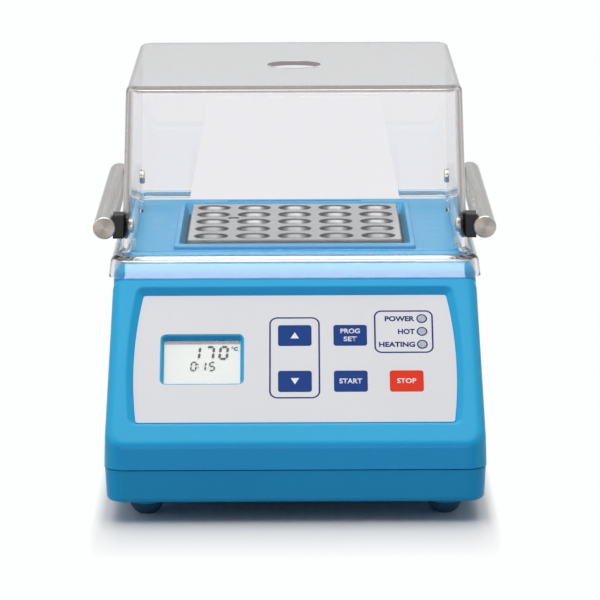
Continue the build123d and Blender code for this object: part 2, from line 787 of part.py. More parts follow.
def rear_backing():
    """Thick wall behind the rear recess."""
    edge = CASE_WALL
    half = REAR_RECESS_HALF + edge
    body = span_box(
        (-half, half),
        (REAR_FLOOR_Y - REAR_FLOOR_THICKNESS, HALF_DEPTH),
        (REAR_RECESS_LOW_Z - edge, REAR_RECESS_HIGH_Z + edge),
    )
    return body & case_plan(OVER / 2, SEAM_Z, DECK_Z)


def rear_openings():
    """Cutters for the inlet, the fuse holder and the switch through the rear wall."""
    depth = (REAR_FLOOR_Y - REAR_FLOOR_THICKNESS - OVER, HALF_DEPTH)
    bodies = ((INLET_X, INLET_BODY), (FUSE_X, FUSE_BODY), (SWITCH_X, SWITCH_BODY))
    return [rear_box(x, size, depth, FIT) for x, size in bodies]


def rear_screw_places():
    """The rear panel's screws as (x, z)."""
    return corners(REAR_SCREW_X, *REAR_SCREW_Z)


def post_places():
    """The case screws' posts as (x, y)."""
    return corners(POST_X, -POST_Y, POST_Y)


def case_posts():
    """Upright posts for the case screws, each webbed to the side wall."""
    posts = []
    low = SEAM_Z + OVER
    high = low + POST_HEIGHT
    half = POST_WEB / 2
    for x, y in post_places():
        posts.append(post(x, y, low, high, POST_R))
        reach = sorted((x, math.copysign(HALF_WIDTH - OVER, x)))
        posts.append(span_box(reach, (y - half, y + half), (low + TONGUE_HEIGHT, high)))
    return posts


def top_shell():
    outside = top_shell_outside()
    shell = outside - on_slope(panel_recess())
    shell = fillet(recess_mouth_edges(shell), RECESS_EDGE_R)
    shell -= case_plan(CASE_WALL, SEAM_Z - OVER, DECK_Z) & hollow_profile()
    bosses = [on_slope(boss) for boss in board_bosses()]
    additions = case_posts() + bosses + [rear_backing()]
    for piece in additions:
        shell += piece & outside
    shell += raised_rim()
    shell -= on_slope(window_cutter())
    shell = without(shell, [on_slope(cutter) for cutter in key_cutters()])
    through = (RECESS_DEPTH - OVER, FLOOR_DEPTH + OVER)
    for x, up in lens_places():
        shell -= on_slope(slope_rod(x, up, through, LENS_R + FIT / 2))
    for x, up in board_screw_places():
        shell -= on_slope(slope_rod(x, up, (FLOOR_DEPTH, BOARD_TOP + OVER), BOARD_SCREW_R))
    shell = without(shell, [opening_cutter(), rear_groove(), rear_recess()] + rear_openings())
    start = REAR_FLOOR_Y - REAR_FLOOR_THICKNESS - OVER
    for x, z in rear_screw_places() + inlet_screw_places():
        shell -= rod_y(x, z, start, REAR_FLOOR_Y + OVER, BOARD_SCREW_R)
    for x, y in post_places():
        shell -= post(x, y, SEAM_Z, SEAM_Z + CASE_SCREW_LENGTH, CASE_SCREW_R)
    return shell


def bottom_plan(inset, low_z, high_z):
    """Plan of the bottom shell drafted inward as it goes down."""
    inset += SEAM_STEP
    plan = RectangleRounded(CASE_WIDTH - 2 * inset, CASE_DEPTH - 2 * inset, CASE_CORNER_R - inset)
    drop = Pos(0, 0, high_z) * extrude(plan, -(high_z - low_z), taper=BOTTOM_DRAFT)
    return drop


def tongue():
    """Lip of the bottom shell that stands inside the top shell's wall."""
    outer = CASE_WALL + FIT + DRAFT * TONGUE_HEIGHT
    inner = outer + TONGUE_THICKNESS
    ring = []
    low = SEAM_Z - SEAM_GAP - TONGUE_ROOT
    for inset in (outer, inner):
        plan = RectangleRounded(
            CASE_WIDTH - 2 * inset, CASE_DEPTH - 2 * inset, CASE_CORNER_R - outer
        )
        ring.append(Pos(0, 0, low) * extrude(plan, SEAM_Z + TONGUE_HEIGHT - low))
    return ring[0] - ring[1]


def foot_places():
    """The feet as (x, y)."""
    return corners(FOOT_X, -FOOT_Y, FOOT_Y)


def tray_screw_places():
    """Screws that hold the tray, outside the insulation."""
    x = (INSULATION_HALF + TRAY_HALF_WIDTH) / 2
    reach = INSULATION_HALF - TRAY_MARGIN_X
    return corners(x, BLOCK_CENTRE_Y - reach, BLOCK_CENTRE_Y + reach)


def power_board_places():
    """The power board's screws as (x, y)."""
    front = POWER_BOARD_FRONT_Y + BOARD_EDGE
    return corners(POWER_BOARD_HALF - BOARD_EDGE, front, POWER_BOARD_REAR_Y - BOARD_EDGE)


def vent_slots():
    """Cooling slots through the floor."""
    slots = []
    half = FLOOR_SLOT_WIDTH / 2
    across = (-FLOOR_SLOT_LENGTH / 2, FLOOR_SLOT_LENGTH / 2)
    for row in range(FLOOR_SLOTS):
        y = BLOCK_CENTRE_Y + (row - (FLOOR_SLOTS - 1) / 2) * FLOOR_SLOT_PITCH
        slots.append(span_box(across, (y - half, y + half), (CASE_BOTTOM_Z - OVER, FLOOR_Z + OVER)))
    return slots


def bottom_shell():
    rim_z = SEAM_Z - SEAM_GAP
    body = bottom_plan(0, CASE_BOTTOM_Z, rim_z)
    body = fillet(body.edges().group_by(Axis.Z)[0], BOTTOM_EDGE_R)
    body -= bottom_plan(CASE_WALL, FLOOR_Z, rim_z + SLIVER)
    body += tongue()
    low_r = FOOT_BOSS_R - FOOT_BOSS_TAPER
    for x, y in foot_places():
        body += cone(x, y, FOOT_HEIGHT, CASE_BOTTOM_Z + OVER, low_r, FOOT_BOSS_R)
        body += post(x, y, CASE_BOTTOM_Z, FLOOR_Z + FOOT_BOSS_HEIGHT, FOOT_STEM_R + FOOT_BOSS_WALL)
    for x, y in tray_screw_places():
        body += post(x, y, FLOOR_Z - OVER, TRAY_LOW_Z, TRAY_POST_R)
    for x, y in power_board_places():
        body += post(x, y, FLOOR_Z - OVER, POWER_BOARD_Z, BOARD_BOSS_R)
    for x, y in post_places():
        body += post(x, y, FLOOR_Z - OVER, SEAM_Z + OVER, POST_R)
    for x, y in foot_places():
        body -= post(x, y, 0, FOOT_HEIGHT + FOOT_STEM_HEIGHT + FIT, FOOT_STEM_R + FIT / 2)
        body -= post(x, y, 0, FOOT_HEAD_DEPTH + FOOT_SCREW_LENGTH + OVER, FOOT_SCREW_R)
    for x, y in tray_screw_places():
        body -= post(x, y, FLOOR_Z, TRAY_LOW_Z + OVER, CASE_SCREW_R)
    for x, y in power_board_places():
        body -= post(x, y, FLOOR_Z, POWER_BOARD_Z + OVER, BOARD_SCREW_R)
    for x, y in post_places():
        body -= post(x, y, 0, SEAM_Z + 2 * OVER, CASE_SCREW_R + FIT)
        body -= post(x, y, 0, FLOOR_Z + CASE_HEAD_HEIGHT, CASE_HEAD_R + FIT)
    return without(body, vent_slots())


def feet():
    """Four domed rubber feet, each with a stem in its boss and a sunk screw."""
    centre_z = math.sqrt(FOOT_DOME_R ** 2 - FOOT_FLAT_R ** 2)
    pieces = []
    for x, y in foot_places():
        dome = Pos(x, y, centre_z) * Sphere(FOOT_DOME_R)
        foot = dome & post(x, y, 0, FOOT_HEIGHT, FOOT_DOME_R + OVER)
        foot += post(x, y, FOOT_HEIGHT - OVER, FOOT_HEIGHT + FOOT_STEM_HEIGHT, FOOT_STEM_R)
        foot -= post(x, y, -OVER, FOOT_HEIGHT + FOOT_STEM_HEIGHT + OVER, FOOT_SCREW_R + FIT / 2)
        foot -= post(x, y, -1, FOOT_HEAD_DEPTH, FOOT_HEAD_R + FIT)
        pieces.append(foot)
    return group(pieces)


def foot_screws():
    screw = Rot(180, 0, 0) * pan_screw(
        FOOT_SCREW_R, FOOT_SCREW_LENGTH, FOOT_HEAD_R, FOOT_HEAD_HEIGHT
    )
    return group([Pos(x, y, FOOT_HEAD_DEPTH) * screw for x, y in foot_places()])


def case_screws():
    screw = Rot(180, 0, 0) * pan_screw(
        CASE_SCREW_R, CASE_SCREW_SHANK, CASE_HEAD_R, CASE_HEAD_HEIGHT
    )
    low = FLOOR_Z + CASE_HEAD_HEIGHT
    return group([Pos(x, y, low) * screw for x, y in post_places()])


# ---- slope panel pieces

def panel_overlay():
    """Printed sheet in the recess, open at the window, the keys and the lenses."""
    through = (OVERLAY_TOP - OVER, RECESS_DEPTH + OVER)
    outline = panel_outline(-OVERLAY_GAP, PANEL_CORNER_R)
    sheet = slope_plate(outline, (OVERLAY_TOP, RECESS_DEPTH))
    sheet -= slope_plate(window_outline(WINDOW_LIP), through)
    for name in KEYS:
        sheet -= slope_plate(key_outline(name, KEY_GAP), through)
    for x, up in lens_places():
        sheet -= slope_rod(x, up, through, LENS_R + FIT / 2)
    return on_slope(sheet)


def key(name):
    """A key cap with its retaining flange and stem."""
    x, up = key_centre(name)
    cap = slope_plate(key_outline(name, 0), (OVERLAY_TOP - KEY_PROUD, KEY_UNDER))
    flange = slope_plate(key_outline(name, KEY_FLANGE), (KEY_FLANGE_TOP, KEY_UNDER))
    stem = slope_rod(x, up, (KEY_FLANGE_TOP, STEM_END), KEY_STEM_R)
    return on_slope(cap + flange + stem)


def indicator_lenses():
    reach = (OVERLAY_TOP - LENS_PROUD, FLOOR_DEPTH + LENS_REACH)
    return group([on_slope(slope_rod(x, up, reach, LENS_R)) for x, up in lens_places()])


def display_window():
    """Clear pane behind the window opening."""
    grow = PANE_LAP - WINDOW_DRAFT_RUN
    return on_slope(slope_plate(window_outline(grow), (FLOOR_DEPTH, PANE_UNDER)))


def display_module():
    """Glass cell of the display in its frame, standing on the board."""
    x, up = WINDOW_CENTRE
    wide = WINDOW_LENGTH / 2 + DISPLAY_LAP
    tall = WINDOW_HEIGHT / 2 + DISPLAY_LAP
    body = slope_box((x - wide, x + wide), (up - tall, up + tall), (DISPLAY_TOP, BOARD_TOP))
    return on_slope(fillet(body.edges().filter_by(Axis.Z), DISPLAY_CORNER_R))


def display_board():
    half = DISPLAY_BOARD_HALF
    height = (DISPLAY_BOARD_LOW, DISPLAY_BOARD_HIGH)
    board = slope_box((-half, half), height, (BOARD_TOP, BOARD_UNDER))
    through = (BOARD_TOP - OVER, BOARD_UNDER + OVER)
    for x, up in board_screw_places():
        board -= slope_rod(x, up, through, BOARD_SCREW_R + FIT)
    return on_slope(board)


def key_switches():
    """Small push switches on the board, one under each key."""
    pieces = []
    half = SWITCH_SIDE / 2
    for name in KEYS:
        x, up = key_centre(name)
        body = slope_box((x - half, x + half), (up - half, up + half), (SWITCH_TOP, BOARD_TOP))
        plunger = slope_rod(x, up, (PLUNGER_TOP, BOARD_TOP), SWITCH_PLUNGER_R)
        pieces.append(on_slope(body + plunger))
    return group(pieces)


def indicator_lamps():
    """Light-emitting diodes on the board, one under each lens."""
    pieces = []
    for x, up in lens_places():
        body = slope_rod(x, up, (FLOOR_DEPTH + LENS_REACH + LAMP_GAP, BOARD_TOP), LAMP_R)
        collar = (BOARD_TOP - LAMP_COLLAR_HEIGHT, BOARD_TOP)
        pieces.append(on_slope(body + slope_rod(x, up, collar, LAMP_R + LAMP_COLLAR)))
    return group(pieces)


def board_screws():
    screw = Rot(180, 0, 0) * small_screw(BOARD_SCREW_LENGTH)
    places = [Pos(x, up, -BOARD_UNDER) for x, up in board_screw_places()]
    return group([on_slope(place * screw) for place in places])


# ---- heating block and its stack

def well_places():
    """The vial wells' middles."""
    reach = (WELL_COUNT - 1) / 2
    steps = [(step - reach) * WELL_PITCH for step in range(WELL_COUNT)]
    return [(x, BLOCK_CENTRE_Y + y) for y in steps for x in steps]


def block_bolt_places():
    """The block's bolts as (x, y), each between four vial wells."""
    half = BLOCK_BOLT_CELL * WELL_PITCH
    return corners(half, BLOCK_CENTRE_Y - half, BLOCK_CENTRE_Y + half)


def heating_block():
    """Block with its wells drilled right through, standing on the base plate."""
    body = rim_block(0, 0, WELL_BOTTOM_Z, BLOCK_TOP_Z, BLOCK_CORNER_R)
    body = chamfer(body.edges().group_by(Axis.Z)[-1], BLOCK_EDGE)
    low = WELL_BOTTOM_Z - OVER
    high = BLOCK_TOP_Z + OVER
    for x, y in well_places():
        body -= post(x, y, low, high, WELL_R)
        mouth = WELL_R + WELL_CHAMFER
        body -= cone(x, y, BLOCK_TOP_Z - WELL_CHAMFER, BLOCK_TOP_Z, WELL_R, mouth)
    x, y = probe_place()
    body -= post(x, y, low, high, PROBE_WELL_R)
    for x, y in block_bolt_places():
        body -= post(x, y, low, WELL_BOTTOM_Z + BLOCK_BOLT_REACH + OVER, BLOCK_BOLT_R)
    return body


def block_base():
    """Solid plate under the wells, with the temperature probe's hole."""
    base = rim_block(0, 0, BLOCK_BOTTOM_Z, WELL_BOTTOM_Z, BLOCK_CORNER_R)
    for x, y in block_bolt_places():
        base -= post(x, y, BLOCK_BOTTOM_Z - OVER, WELL_BOTTOM_Z + OVER, BLOCK_BOLT_R + FIT)
    depth = BLOCK_FRONT_Y + SENSOR_LENGTH
    hole = SENSOR_R + SENSOR_CLEARANCE
    return base - rod_y(SENSOR_X, SENSOR_Z, BLOCK_FRONT_Y - OVER, depth, hole)


def probe_place():
    """Middle of the thermometer well, between four vial wells."""
    column, row = PROBE_WELL_CELL
    return column * WELL_PITCH, BLOCK_CENTRE_Y + row * WELL_PITCH


def stack_plate(half, low_z, high_z, hole_radius):
    """A square plate under the block with holes for the block's bolts."""
    length = (BLOCK_CENTRE_Y - half, BLOCK_CENTRE_Y + half)
    plate = span_box((-half, half), length, (low_z, high_z))
    for x, y in block_bolt_places():
        plate -= post(x, y, low_z - OVER, high_z + OVER, hole_radius)
    return plate


def heater_plate():
    half = BLOCK_HALF - HEATER_MARGIN
    return stack_plate(half, CLAMP_TOP_Z, BLOCK_BOTTOM_Z, BLOCK_BOLT_R + FIT)


def clamp_plate():
    half = BLOCK_HALF - HEATER_MARGIN
    return stack_plate(half, CLAMP_LOW_Z, CLAMP_TOP_Z, BLOCK_BOLT_R + FIT)


def insulation_base():
    base = stack_plate(INSULATION_HALF, TRAY_TOP_Z, CLAMP_LOW_Z, SPACER_R + FIT)
    cutout_low = CLAMP_LOW_Z - CUTOUT_HEIGHT
    hole = CUTOUT_R + CUTOUT_CLEARANCE
    return base - post(0, BLOCK_CENTRE_Y, cutout_low, CLAMP_LOW_Z + OVER, hole)


def square_frame(inner, outer, low_z, high_z):
    """A square ring round the block between two half widths."""
    middle = BLOCK_CENTRE_Y
    frame = span_box((-outer, outer), (middle - outer, middle + outer), (low_z, high_z))
    return frame - span_box((-inner, inner), (middle - inner, middle + inner), (0, DECK_Z))


def insulation_frame():
    inner = BLOCK_HALF + INSULATION_GAP
    outer = INSULATION_HALF
    frame = square_frame(inner, outer, CLAMP_LOW_Z, GASKET_LOW_Z)
    start = BLOCK_CENTRE_Y - outer - OVER
    hole = SENSOR_R + 2 * SENSOR_CLEARANCE
    return frame - rod_y(SENSOR_X, SENSOR_Z, start, BLOCK_FRONT_Y, hole)


def block_gasket():
    """Dark seal between the insulation and the underside of the deck."""
    inner = BLOCK_HALF + GASKET_GAP
    return square_frame(inner, inner + GASKET_WIDTH, GASKET_LOW_Z, DECK_UNDER_Z)


def block_sensor():
    """Temperature probe in the front face of the block's base."""
    front = BLOCK_CENTRE_Y - INSULATION_HALF - SENSOR_TAIL
    rear = BLOCK_FRONT_Y + SENSOR_LENGTH - OVER / 2
    body = rod_y(SENSOR_X, SENSOR_Z, front, rear, SENSOR_R)
    return body + rod_y(SENSOR_X, SENSOR_Z, front - SENSOR_TAIL, front, SENSOR_SLEEVE_R)


def thermal_cutout():
    """Disc thermostat against the clamp plate."""
    can_low = CLAMP_LOW_Z - CUTOUT_CAN_HEIGHT
    can = post(0, BLOCK_CENTRE_Y, can_low, CLAMP_LOW_Z, CUTOUT_R)
    return can + post(0, BLOCK_CENTRE_Y, can_low - CUTOUT_BASE_HEIGHT, can_low, CUTOUT_R - OVER)


def block_spacers():
    """Tubes through the base insulation that carry the block."""
    tubes = []
    for x, y in block_bolt_places():
        tube = post(x, y, TRAY_TOP_Z, CLAMP_LOW_Z, SPACER_R)
        tubes.append(tube - post(x, y, TRAY_TOP_Z - OVER, CLAMP_LOW_Z + OVER, BLOCK_BOLT_R + FIT))
    return group(tubes)


def block_bolts():
    length = WELL_BOTTOM_Z + BLOCK_BOLT_REACH - TRAY_LOW_Z
    bolt = pan_screw(BLOCK_BOLT_R, length, BLOCK_BOLT_HEAD_R, BLOCK_BOLT_HEAD_HEIGHT)
    bolt = Rot(180, 0, 0) * bolt
    return group([Pos(x, y, TRAY_LOW_Z) * bolt for x, y in block_bolt_places()])


def block_tray():
    """Flat steel tray that carries the block's stack."""
    half = TRAY_HALF_WIDTH
    tray = span_box((-half, half), (TRAY_FRONT_Y, TRAY_REAR_Y), (TRAY_LOW_Z, TRAY_TOP_Z))
    for x, y in block_bolt_places():
        tray -= post(x, y, TRAY_LOW_Z - OVER, TRAY_TOP_Z + OVER, BLOCK_BOLT_R + FIT)
    for x, y in tray_screw_places():
        tray -= post(x, y, TRAY_LOW_Z - OVER, TRAY_TOP_Z + OVER, CASE_SCREW_R + FIT)
    return tray


def tray_screws():
    screw = pan_screw(CASE_SCREW_R, TRAY_SCREW_LENGTH, CASE_HEAD_R, CASE_HEAD_HEIGHT)
    return group([Pos(x, y, TRAY_TOP_Z) * screw for x, y in tray_screw_places()])


def heat_shield():
    """Bent sheet between the block's chamber and the boards, standing on the tray."""
    front = TRAY_FRONT_Y
    thick = TRAY_THICKNESS
    across = (SHIELD_SIDE_GAP - TRAY_HALF_WIDTH, TRAY_HALF_WIDTH - SHIELD_SIDE_GAP)
    wall = span_box(across, (front, front + thick), (TRAY_TOP_Z, DECK_UNDER_Z - SHIELD_TOP_GAP))
    foot = span_box(across, (front, front + SHIELD_FLANGE), (TRAY_TOP_Z, TRAY_TOP_Z + thick))
    wall -= rod_y(SENSOR_X, SENSOR_Z, front - OVER, front + thick + OVER, SHIELD_HOLE_R)
    return wall + foot


# ---- power side

def rear_panel():
    half = REAR_RECESS_HALF - REAR_PANEL_GAP
    low = REAR_RECESS_LOW_Z + REAR_PANEL_GAP
    high = REAR_RECESS_HIGH_Z - REAR_PANEL_GAP
    plate = span_box((-half, half), (REAR_FLOOR_Y, REAR_FACE_Y), (low, high))
    for x, z in rear_screw_places() + inlet_screw_places():
        plate -= rod_y(x, z, REAR_FLOOR_Y - OVER, REAR_FACE_Y + OVER, BOARD_SCREW_R + FIT)
    return without(plate, rear_openings())


def rear_panel_screws():
    screw = Rot(-90, 0, 0) * small_screw(REAR_SCREW_LENGTH)
    return group([Pos(x, REAR_FACE_Y, z) * screw for x, z in rear_screw_places()])


def rear_box(x, size, depth, grow=0.0):
    """A box level with the inlet, from its (width, height) and its range of Y."""
    wide = size[0] / 2 + grow
    tall = size[1] / 2 + grow
    return span_box((x - wide, x + wide), depth, (INLET_Z - tall, INLET_Z + tall))


def flanged_body(x, flange, body, depth):
    """A flanged housing in the rear panel."""
    plate = rear_box(x, flange, (REAR_FACE_Y, FLANGE_FACE_Y))
    plate = fillet(plate.edges().filter_by(Axis.Y), FLANGE_CORNER_R)
    return plate + rear_box(x, body, (REAR_FACE_Y - depth, REAR_FACE_Y + OVER / 2))


def inlet_screw_places():
    """The inlet's screws as (x, z)."""
    half = INLET_SCREW_PITCH / 2
    return [(INLET_X - half, INLET_Z), (INLET_X + half, INLET_Z)]


def inlet_cavity():
    """Rounded hollow that takes the lead's connector."""
    depth = (FLANGE_FACE_Y - INLET_SOCKET_DEPTH, FLANGE_FACE_Y + OVER)
    cavity = rear_box(INLET_X, INLET_SOCKET, depth)
    lower = [edge for edge in cavity.edges().filter_by(Axis.Y) if edge.center().Z < INLET_Z]
    return chamfer(lower, INLET_SOCKET_BEVEL)


def power_inlet():
    body = flanged_body(INLET_X, INLET_FLANGE, INLET_BODY, INLET_DEPTH)
    body = without(body, [inlet_cavity()] + contact_bars())
    for x, z in inlet_screw_places():
        body -= rod_y(x, z, REAR_FACE_Y - OVER, HALF_DEPTH, BOARD_SCREW_R + FIT)
    return body


def contact_bars():
    """Three flat bars through the inlet's back wall."""
    front = REAR_FACE_Y - INLET_DEPTH - PIN_TAIL
    tip = FLANGE_FACE_Y - PIN_SETBACK
    wide, tall = PIN_SIZE
    pieces = []
    for x, z in PIN_PLACES:
        x += INLET_X
        z += INLET_Z
        pin = span_box((x - wide / 2, x + wide / 2), (front, tip), (z - tall / 2, z + tall / 2))
        pieces.append(pin)
    return pieces


def inlet_pins():
    return group(contact_bars())


def inlet_screws():
    screw = Rot(-90, 0, 0) * small_screw(INLET_SCREW_LENGTH)
    return group([Pos(x, FLANGE_FACE_Y, z) * screw for x, z in inlet_screw_places()])


def fuse_holder():
    body = flanged_body(FUSE_X, FUSE_FLANGE, FUSE_BODY, FUSE_DRAWER_DEPTH + FUSE_WALL)
    deep = REAR_FACE_Y - FUSE_DRAWER_DEPTH - FIT
    return body - rear_box(FUSE_X, FUSE_DRAWER, (deep, HALF_DEPTH), FIT)


def fuse_drawer():
    """Drawer with a fuse in a trough at each side of its middle web."""
    front = REAR_FACE_Y - FUSE_DRAWER_DEPTH
    drawer = rear_box(FUSE_X, FUSE_DRAWER, (front, FLANGE_FACE_Y))
    trough = (front + OVER, front + FUSE_LENGTH + OVER + 2 * FUSE_END_GAP)
    half = FUSE_R + FIT / 2
    for x, z in fuse_places():
        drawer -= rod_y(x, z, trough[0], trough[1], half)
        outside = z + math.copysign(FUSE_DRAWER[1], z - INLET_Z)
        drawer -= span_box((x - half, x + half), trough, sorted((z, outside)))
    return drawer + fuse_pull()


def fuse_pull():
    """Lip by which the drawer is drawn out."""
    wide, proud, thick = FUSE_PULL
    top = INLET_Z + FUSE_DRAWER[1] / 2 - FUSE_PULL_DROP
    return span_box(
        (FUSE_X - wide / 2, FUSE_X + wide / 2),
        (FLANGE_FACE_Y - OVER, FLANGE_FACE_Y + proud),
        (top - thick, top),
    )


def fuse_places():
    """The two fuses as (x, z)."""
    return [(FUSE_X, INLET_Z - FUSE_OFFSET), (FUSE_X, INLET_Z + FUSE_OFFSET)]


def fuses():
    front = REAR_FACE_Y - FUSE_DRAWER_DEPTH + 1 + FUSE_END_GAP
    return group([rod_y(x, z, front, front + FUSE_LENGTH, FUSE_R) for x, z in fuse_places()])


def switch_housing():
    body = flanged_body(SWITCH_X, SWITCH_FLANGE, SWITCH_BODY, SWITCH_DEPTH)
    room = (ROCKER[0] + 2 * ROCKER_GAP, ROCKER[1] + 2 * ROCKER_END_GAP)
    body -= rear_box(SWITCH_X, room, (ROCKER_AXIS_Y - ROCKER_ROOM, HALF_DEPTH))
    reach = room[0] / 2 + ROCKER_PIN_HOLE_REACH
    hole = ROCKER_PIN_R + ROCKER_PIN_CLEARANCE
    return body - rod_x(ROCKER_AXIS_Y, INLET_Z, SWITCH_X - reach, SWITCH_X + reach, hole)


def switch_rocker():
    """Rocker with its pivot stubs, shown with its lower half pressed."""
    wide = ROCKER[0] / 2
    tall = ROCKER[1] / 2
    outer = ROCKER_AXIS_DEPTH + ROCKER_PROUD
    heel, deep = ROCKER_HEEL
    upper = [(0, outer - ROCKER_DISH), (tall, outer), (tall, ROCKER_SIDE), (heel, -deep)]
    lower = [(-heel, -deep), (-tall, ROCKER_SIDE), (-tall, outer)]
    side_view = Plane(origin=(0, 0, 0), x_dir=(0, 0, 1), z_dir=(-1, 0, 0))
    outline = side_view * make_face(Polyline(*(upper + lower), close=True))
    body = Rot(-ROCKER_TILT, 0, 0) * extrude(outline, wide, both=True)
    pin = Rot(0, 90, 0) * Cylinder(ROCKER_PIN_R, 2 * (wide + ROCKER_GAP + ROCKER_PIN_REACH))
    return Pos(SWITCH_X, ROCKER_AXIS_Y, INLET_Z) * (body + pin)


def power_board():
    half = POWER_BOARD_HALF
    length = (POWER_BOARD_FRONT_Y, POWER_BOARD_REAR_Y)
    board = span_box((-half, half), length, (POWER_BOARD_Z, POWER_BOARD_TOP_Z))
    for x, y in power_board_places():
        hole = (POWER_BOARD_Z - OVER, POWER_BOARD_TOP_Z + OVER)
        board -= post(x, y, hole[0], hole[1], BOARD_SCREW_R + FIT)
    return board


def power_board_screws():
    screw = small_screw(POWER_SCREW_LENGTH)
    return group([Pos(x, y, POWER_BOARD_TOP_Z) * screw for x, y in power_board_places()])


def on_board(place, size, rise=0.0):
    """A box over the power board, placed from the board's middle."""
    x, y = place
    y += POWER_BOARD_MIDDLE_Y
    low = POWER_BOARD_TOP_Z + rise
    return span_box(
        (x - size[0] / 2, x + size[0] / 2),
        (y - size[1] / 2, y + size[1] / 2),
        (low, low + size[2]),
    )


def transformer_core():
    core = on_board(TRANSFORMER_PLACE, TRANSFORMER_CORE)
    return fillet(core.edges().filter_by(Axis.Z), PART_CORNER_R)


def transformer_coil():
    """Winding that stands out at both ends of the core."""
    coil = on_board(TRANSFORMER_PLACE, COIL, COIL_RISE)
    coil = fillet(coil.edges().filter_by(Axis.Z), COIL_CORNER_R)
    ends = coil - on_board(TRANSFORMER_PLACE, TRANSFORMER_CORE)
    return group(ends.solids())


def heat_sink():
    """Finned aluminium sink."""
    x, y = SINK_PLACE
    sink = on_board(SINK_PLACE, SINK_BACK)
    first = x - (FIN_COUNT - 1) / 2 * FIN_PITCH
    fin_y = y - (SINK_BACK[1] + FIN_DEPTH) / 2
    for fin in range(FIN_COUNT):
        size = (FIN_THICKNESS, FIN_DEPTH, SINK_BACK[2])
        sink += on_board((first + fin * FIN_PITCH, fin_y), size)
    return sink


def triac():
    """Power switch clamped to the sink's flat back."""
    x, y = SINK_PLACE
    front = y + SINK_BACK[1] / 2
    body = on_board((x, front + TRIAC[1] / 2), TRIAC, TRIAC_RISE)
    for leg in (-1, 0, 1):
        size = (LEG_SIDE, LEG_SIDE, TRIAC_RISE + OVER)
        body += on_board((x + leg * LEG_PITCH, front + LEG_SETBACK + LEG_SIDE / 2), size)
    return body


def relay():
    body = on_board(RELAY_PLACE, RELAY)
    return fillet(body.edges().filter_by(Axis.Z), PART_CORNER_R)


def terminal_block():
    """Screw terminals for the mains and heater leads."""
    x, y = TERMINAL_PLACE
    body = on_board(TERMINAL_PLACE, TERMINAL)
    top = POWER_BOARD_TOP_Z + TERMINAL[2]
    mouth_y = y - (TERMINAL[1] - TERMINAL_MOUTH[1]) / 2
    for way in range(TERMINAL_WAYS):
        way_x = x + (way - (TERMINAL_WAYS - 1) / 2) * TERMINAL_PITCH
        screw_y = POWER_BOARD_MIDDLE_Y + y
        body -= post(way_x, screw_y, top - TERMINAL_SCREW_DEPTH, top + OVER, TERMINAL_SCREW_R)
        body -= on_board((way_x, mouth_y), TERMINAL_MOUTH, TERMINAL_MOUTH_RISE)
    return body


def capacitors():
    cans = []
    for (x, y), radius, height in CAPACITORS:
        top = POWER_BOARD_TOP_Z + height
        can = post(x, POWER_BOARD_MIDDLE_Y + y, POWER_BOARD_TOP_Z, top, radius)
        cans.append(fillet(can.edges().group_by(Axis.Z)[-1], CAPACITOR_EDGE_R))
    return group(cans)


# ---- clear cover

def cover_plan(inset, z):
    """Plan of the cover's drafted walls at a height."""
    spread = COVER_TAN * (COVER_TOP_Z - z) - inset
    width = 2 * (COVER_HALF_WIDTH_TOP + spread)
    depth = COVER_REAR_TOP_Y - COVER_FRONT_TOP_Y + 2 * spread
    plan = RectangleRounded(width, depth, COVER_CORNER_R + spread)
    return Pos(0, COVER_CENTRE_Y, z) * plan


def cover_walls(inset, low_z, high_z):
    return extrude(cover_plan(inset, low_z), high_z - low_z, taper=COVER_DRAFT)


def cover_foot(inset, low_z, high_z):
    """Flat shoulder and drafted skirt round the foot of the walls."""
    width = 2 * (SKIRT_HALF_WIDTH - inset)
    front = SKIRT_FRONT_Y + inset
    rear = SKIRT_REAR_Y - inset
    plan = RectangleRounded(width, rear - front, SKIRT_CORNER_R - inset)
    return Pos(0, (front + rear) / 2, low_z) * extrude(plan, high_z - low_z, taper=SKIRT_DRAFT)


def shoulder_edges(body, z, inset, outer):
    """The loop of edges at the shoulder's rim, or the one at the walls' root."""
    margin = inset + SHOULDER_EDGE_BAND
    chosen = []
    for edge in body.edges():
        low, high = edge_box(edge)
        level = abs(low.Z - z) < NEAR and abs(high.Z - z) < NEAR
        at_side = max(abs(low.X), abs(high.X)) > SKIRT_HALF_WIDTH - margin
        at_end = high.Y > SKIRT_REAR_Y - margin or low.Y < SKIRT_FRONT_Y + margin
        if level and (at_side or at_end) == outer:
            chosen.append(edge)
    return chosen


def cover_body(inset, low_z, shoulder_z, top_z, edge_r, root_r, top_r):
    """Closed body of the cover's outside or inside."""
    thinner = inset_of_skirt(inset)
    body = cover_foot(thinner, low_z, shoulder_z) + cover_walls(inset, low_z, top_z)
    body = fillet(shoulder_edges(body, shoulder_z, thinner, False), root_r)
    body = fillet(shoulder_edges(body, shoulder_z, thinner, True), edge_r)
    return fillet(body.edges().group_by(Axis.Z)[-1], top_r)


def inset_of_skirt(inset):
    """The skirt is a little thinner than the walls."""
    return SKIRT_WALL if inset else 0.0


def rear_cut():
    """Opening through the rear wall, the shoulder and the skirt."""
    low = SKIRT_BOTTOM_Z - OVER
    high = REAR_CUT_TOP_Z
    slope = (REAR_CUT_LOW_HALF - REAR_CUT_TOP_HALF) / (high - SHOULDER_Z)
    low_half = REAR_CUT_TOP_HALF + slope * (high - low)
    left = [(-low_half, low), (-REAR_CUT_TOP_HALF, high)]
    right = [(REAR_CUT_TOP_HALF, high), (low_half, low)]
    face = make_face(Polyline(*(left + right), close=True))
    top = [vertex for vertex in face.vertices() if vertex.Y > high - OVER]
    face = fillet(top, REAR_CUT_CORNER_R)
    length = SKIRT_REAR_Y - COVER_REAR_TOP_Y + 2 * REAR_CUT_START
    start = COVER_REAR_TOP_Y - REAR_CUT_START
    return Pos(0, start, 0) * Rot(90, 0, 0) * Pos(0, 0, -length) * extrude(face, length)


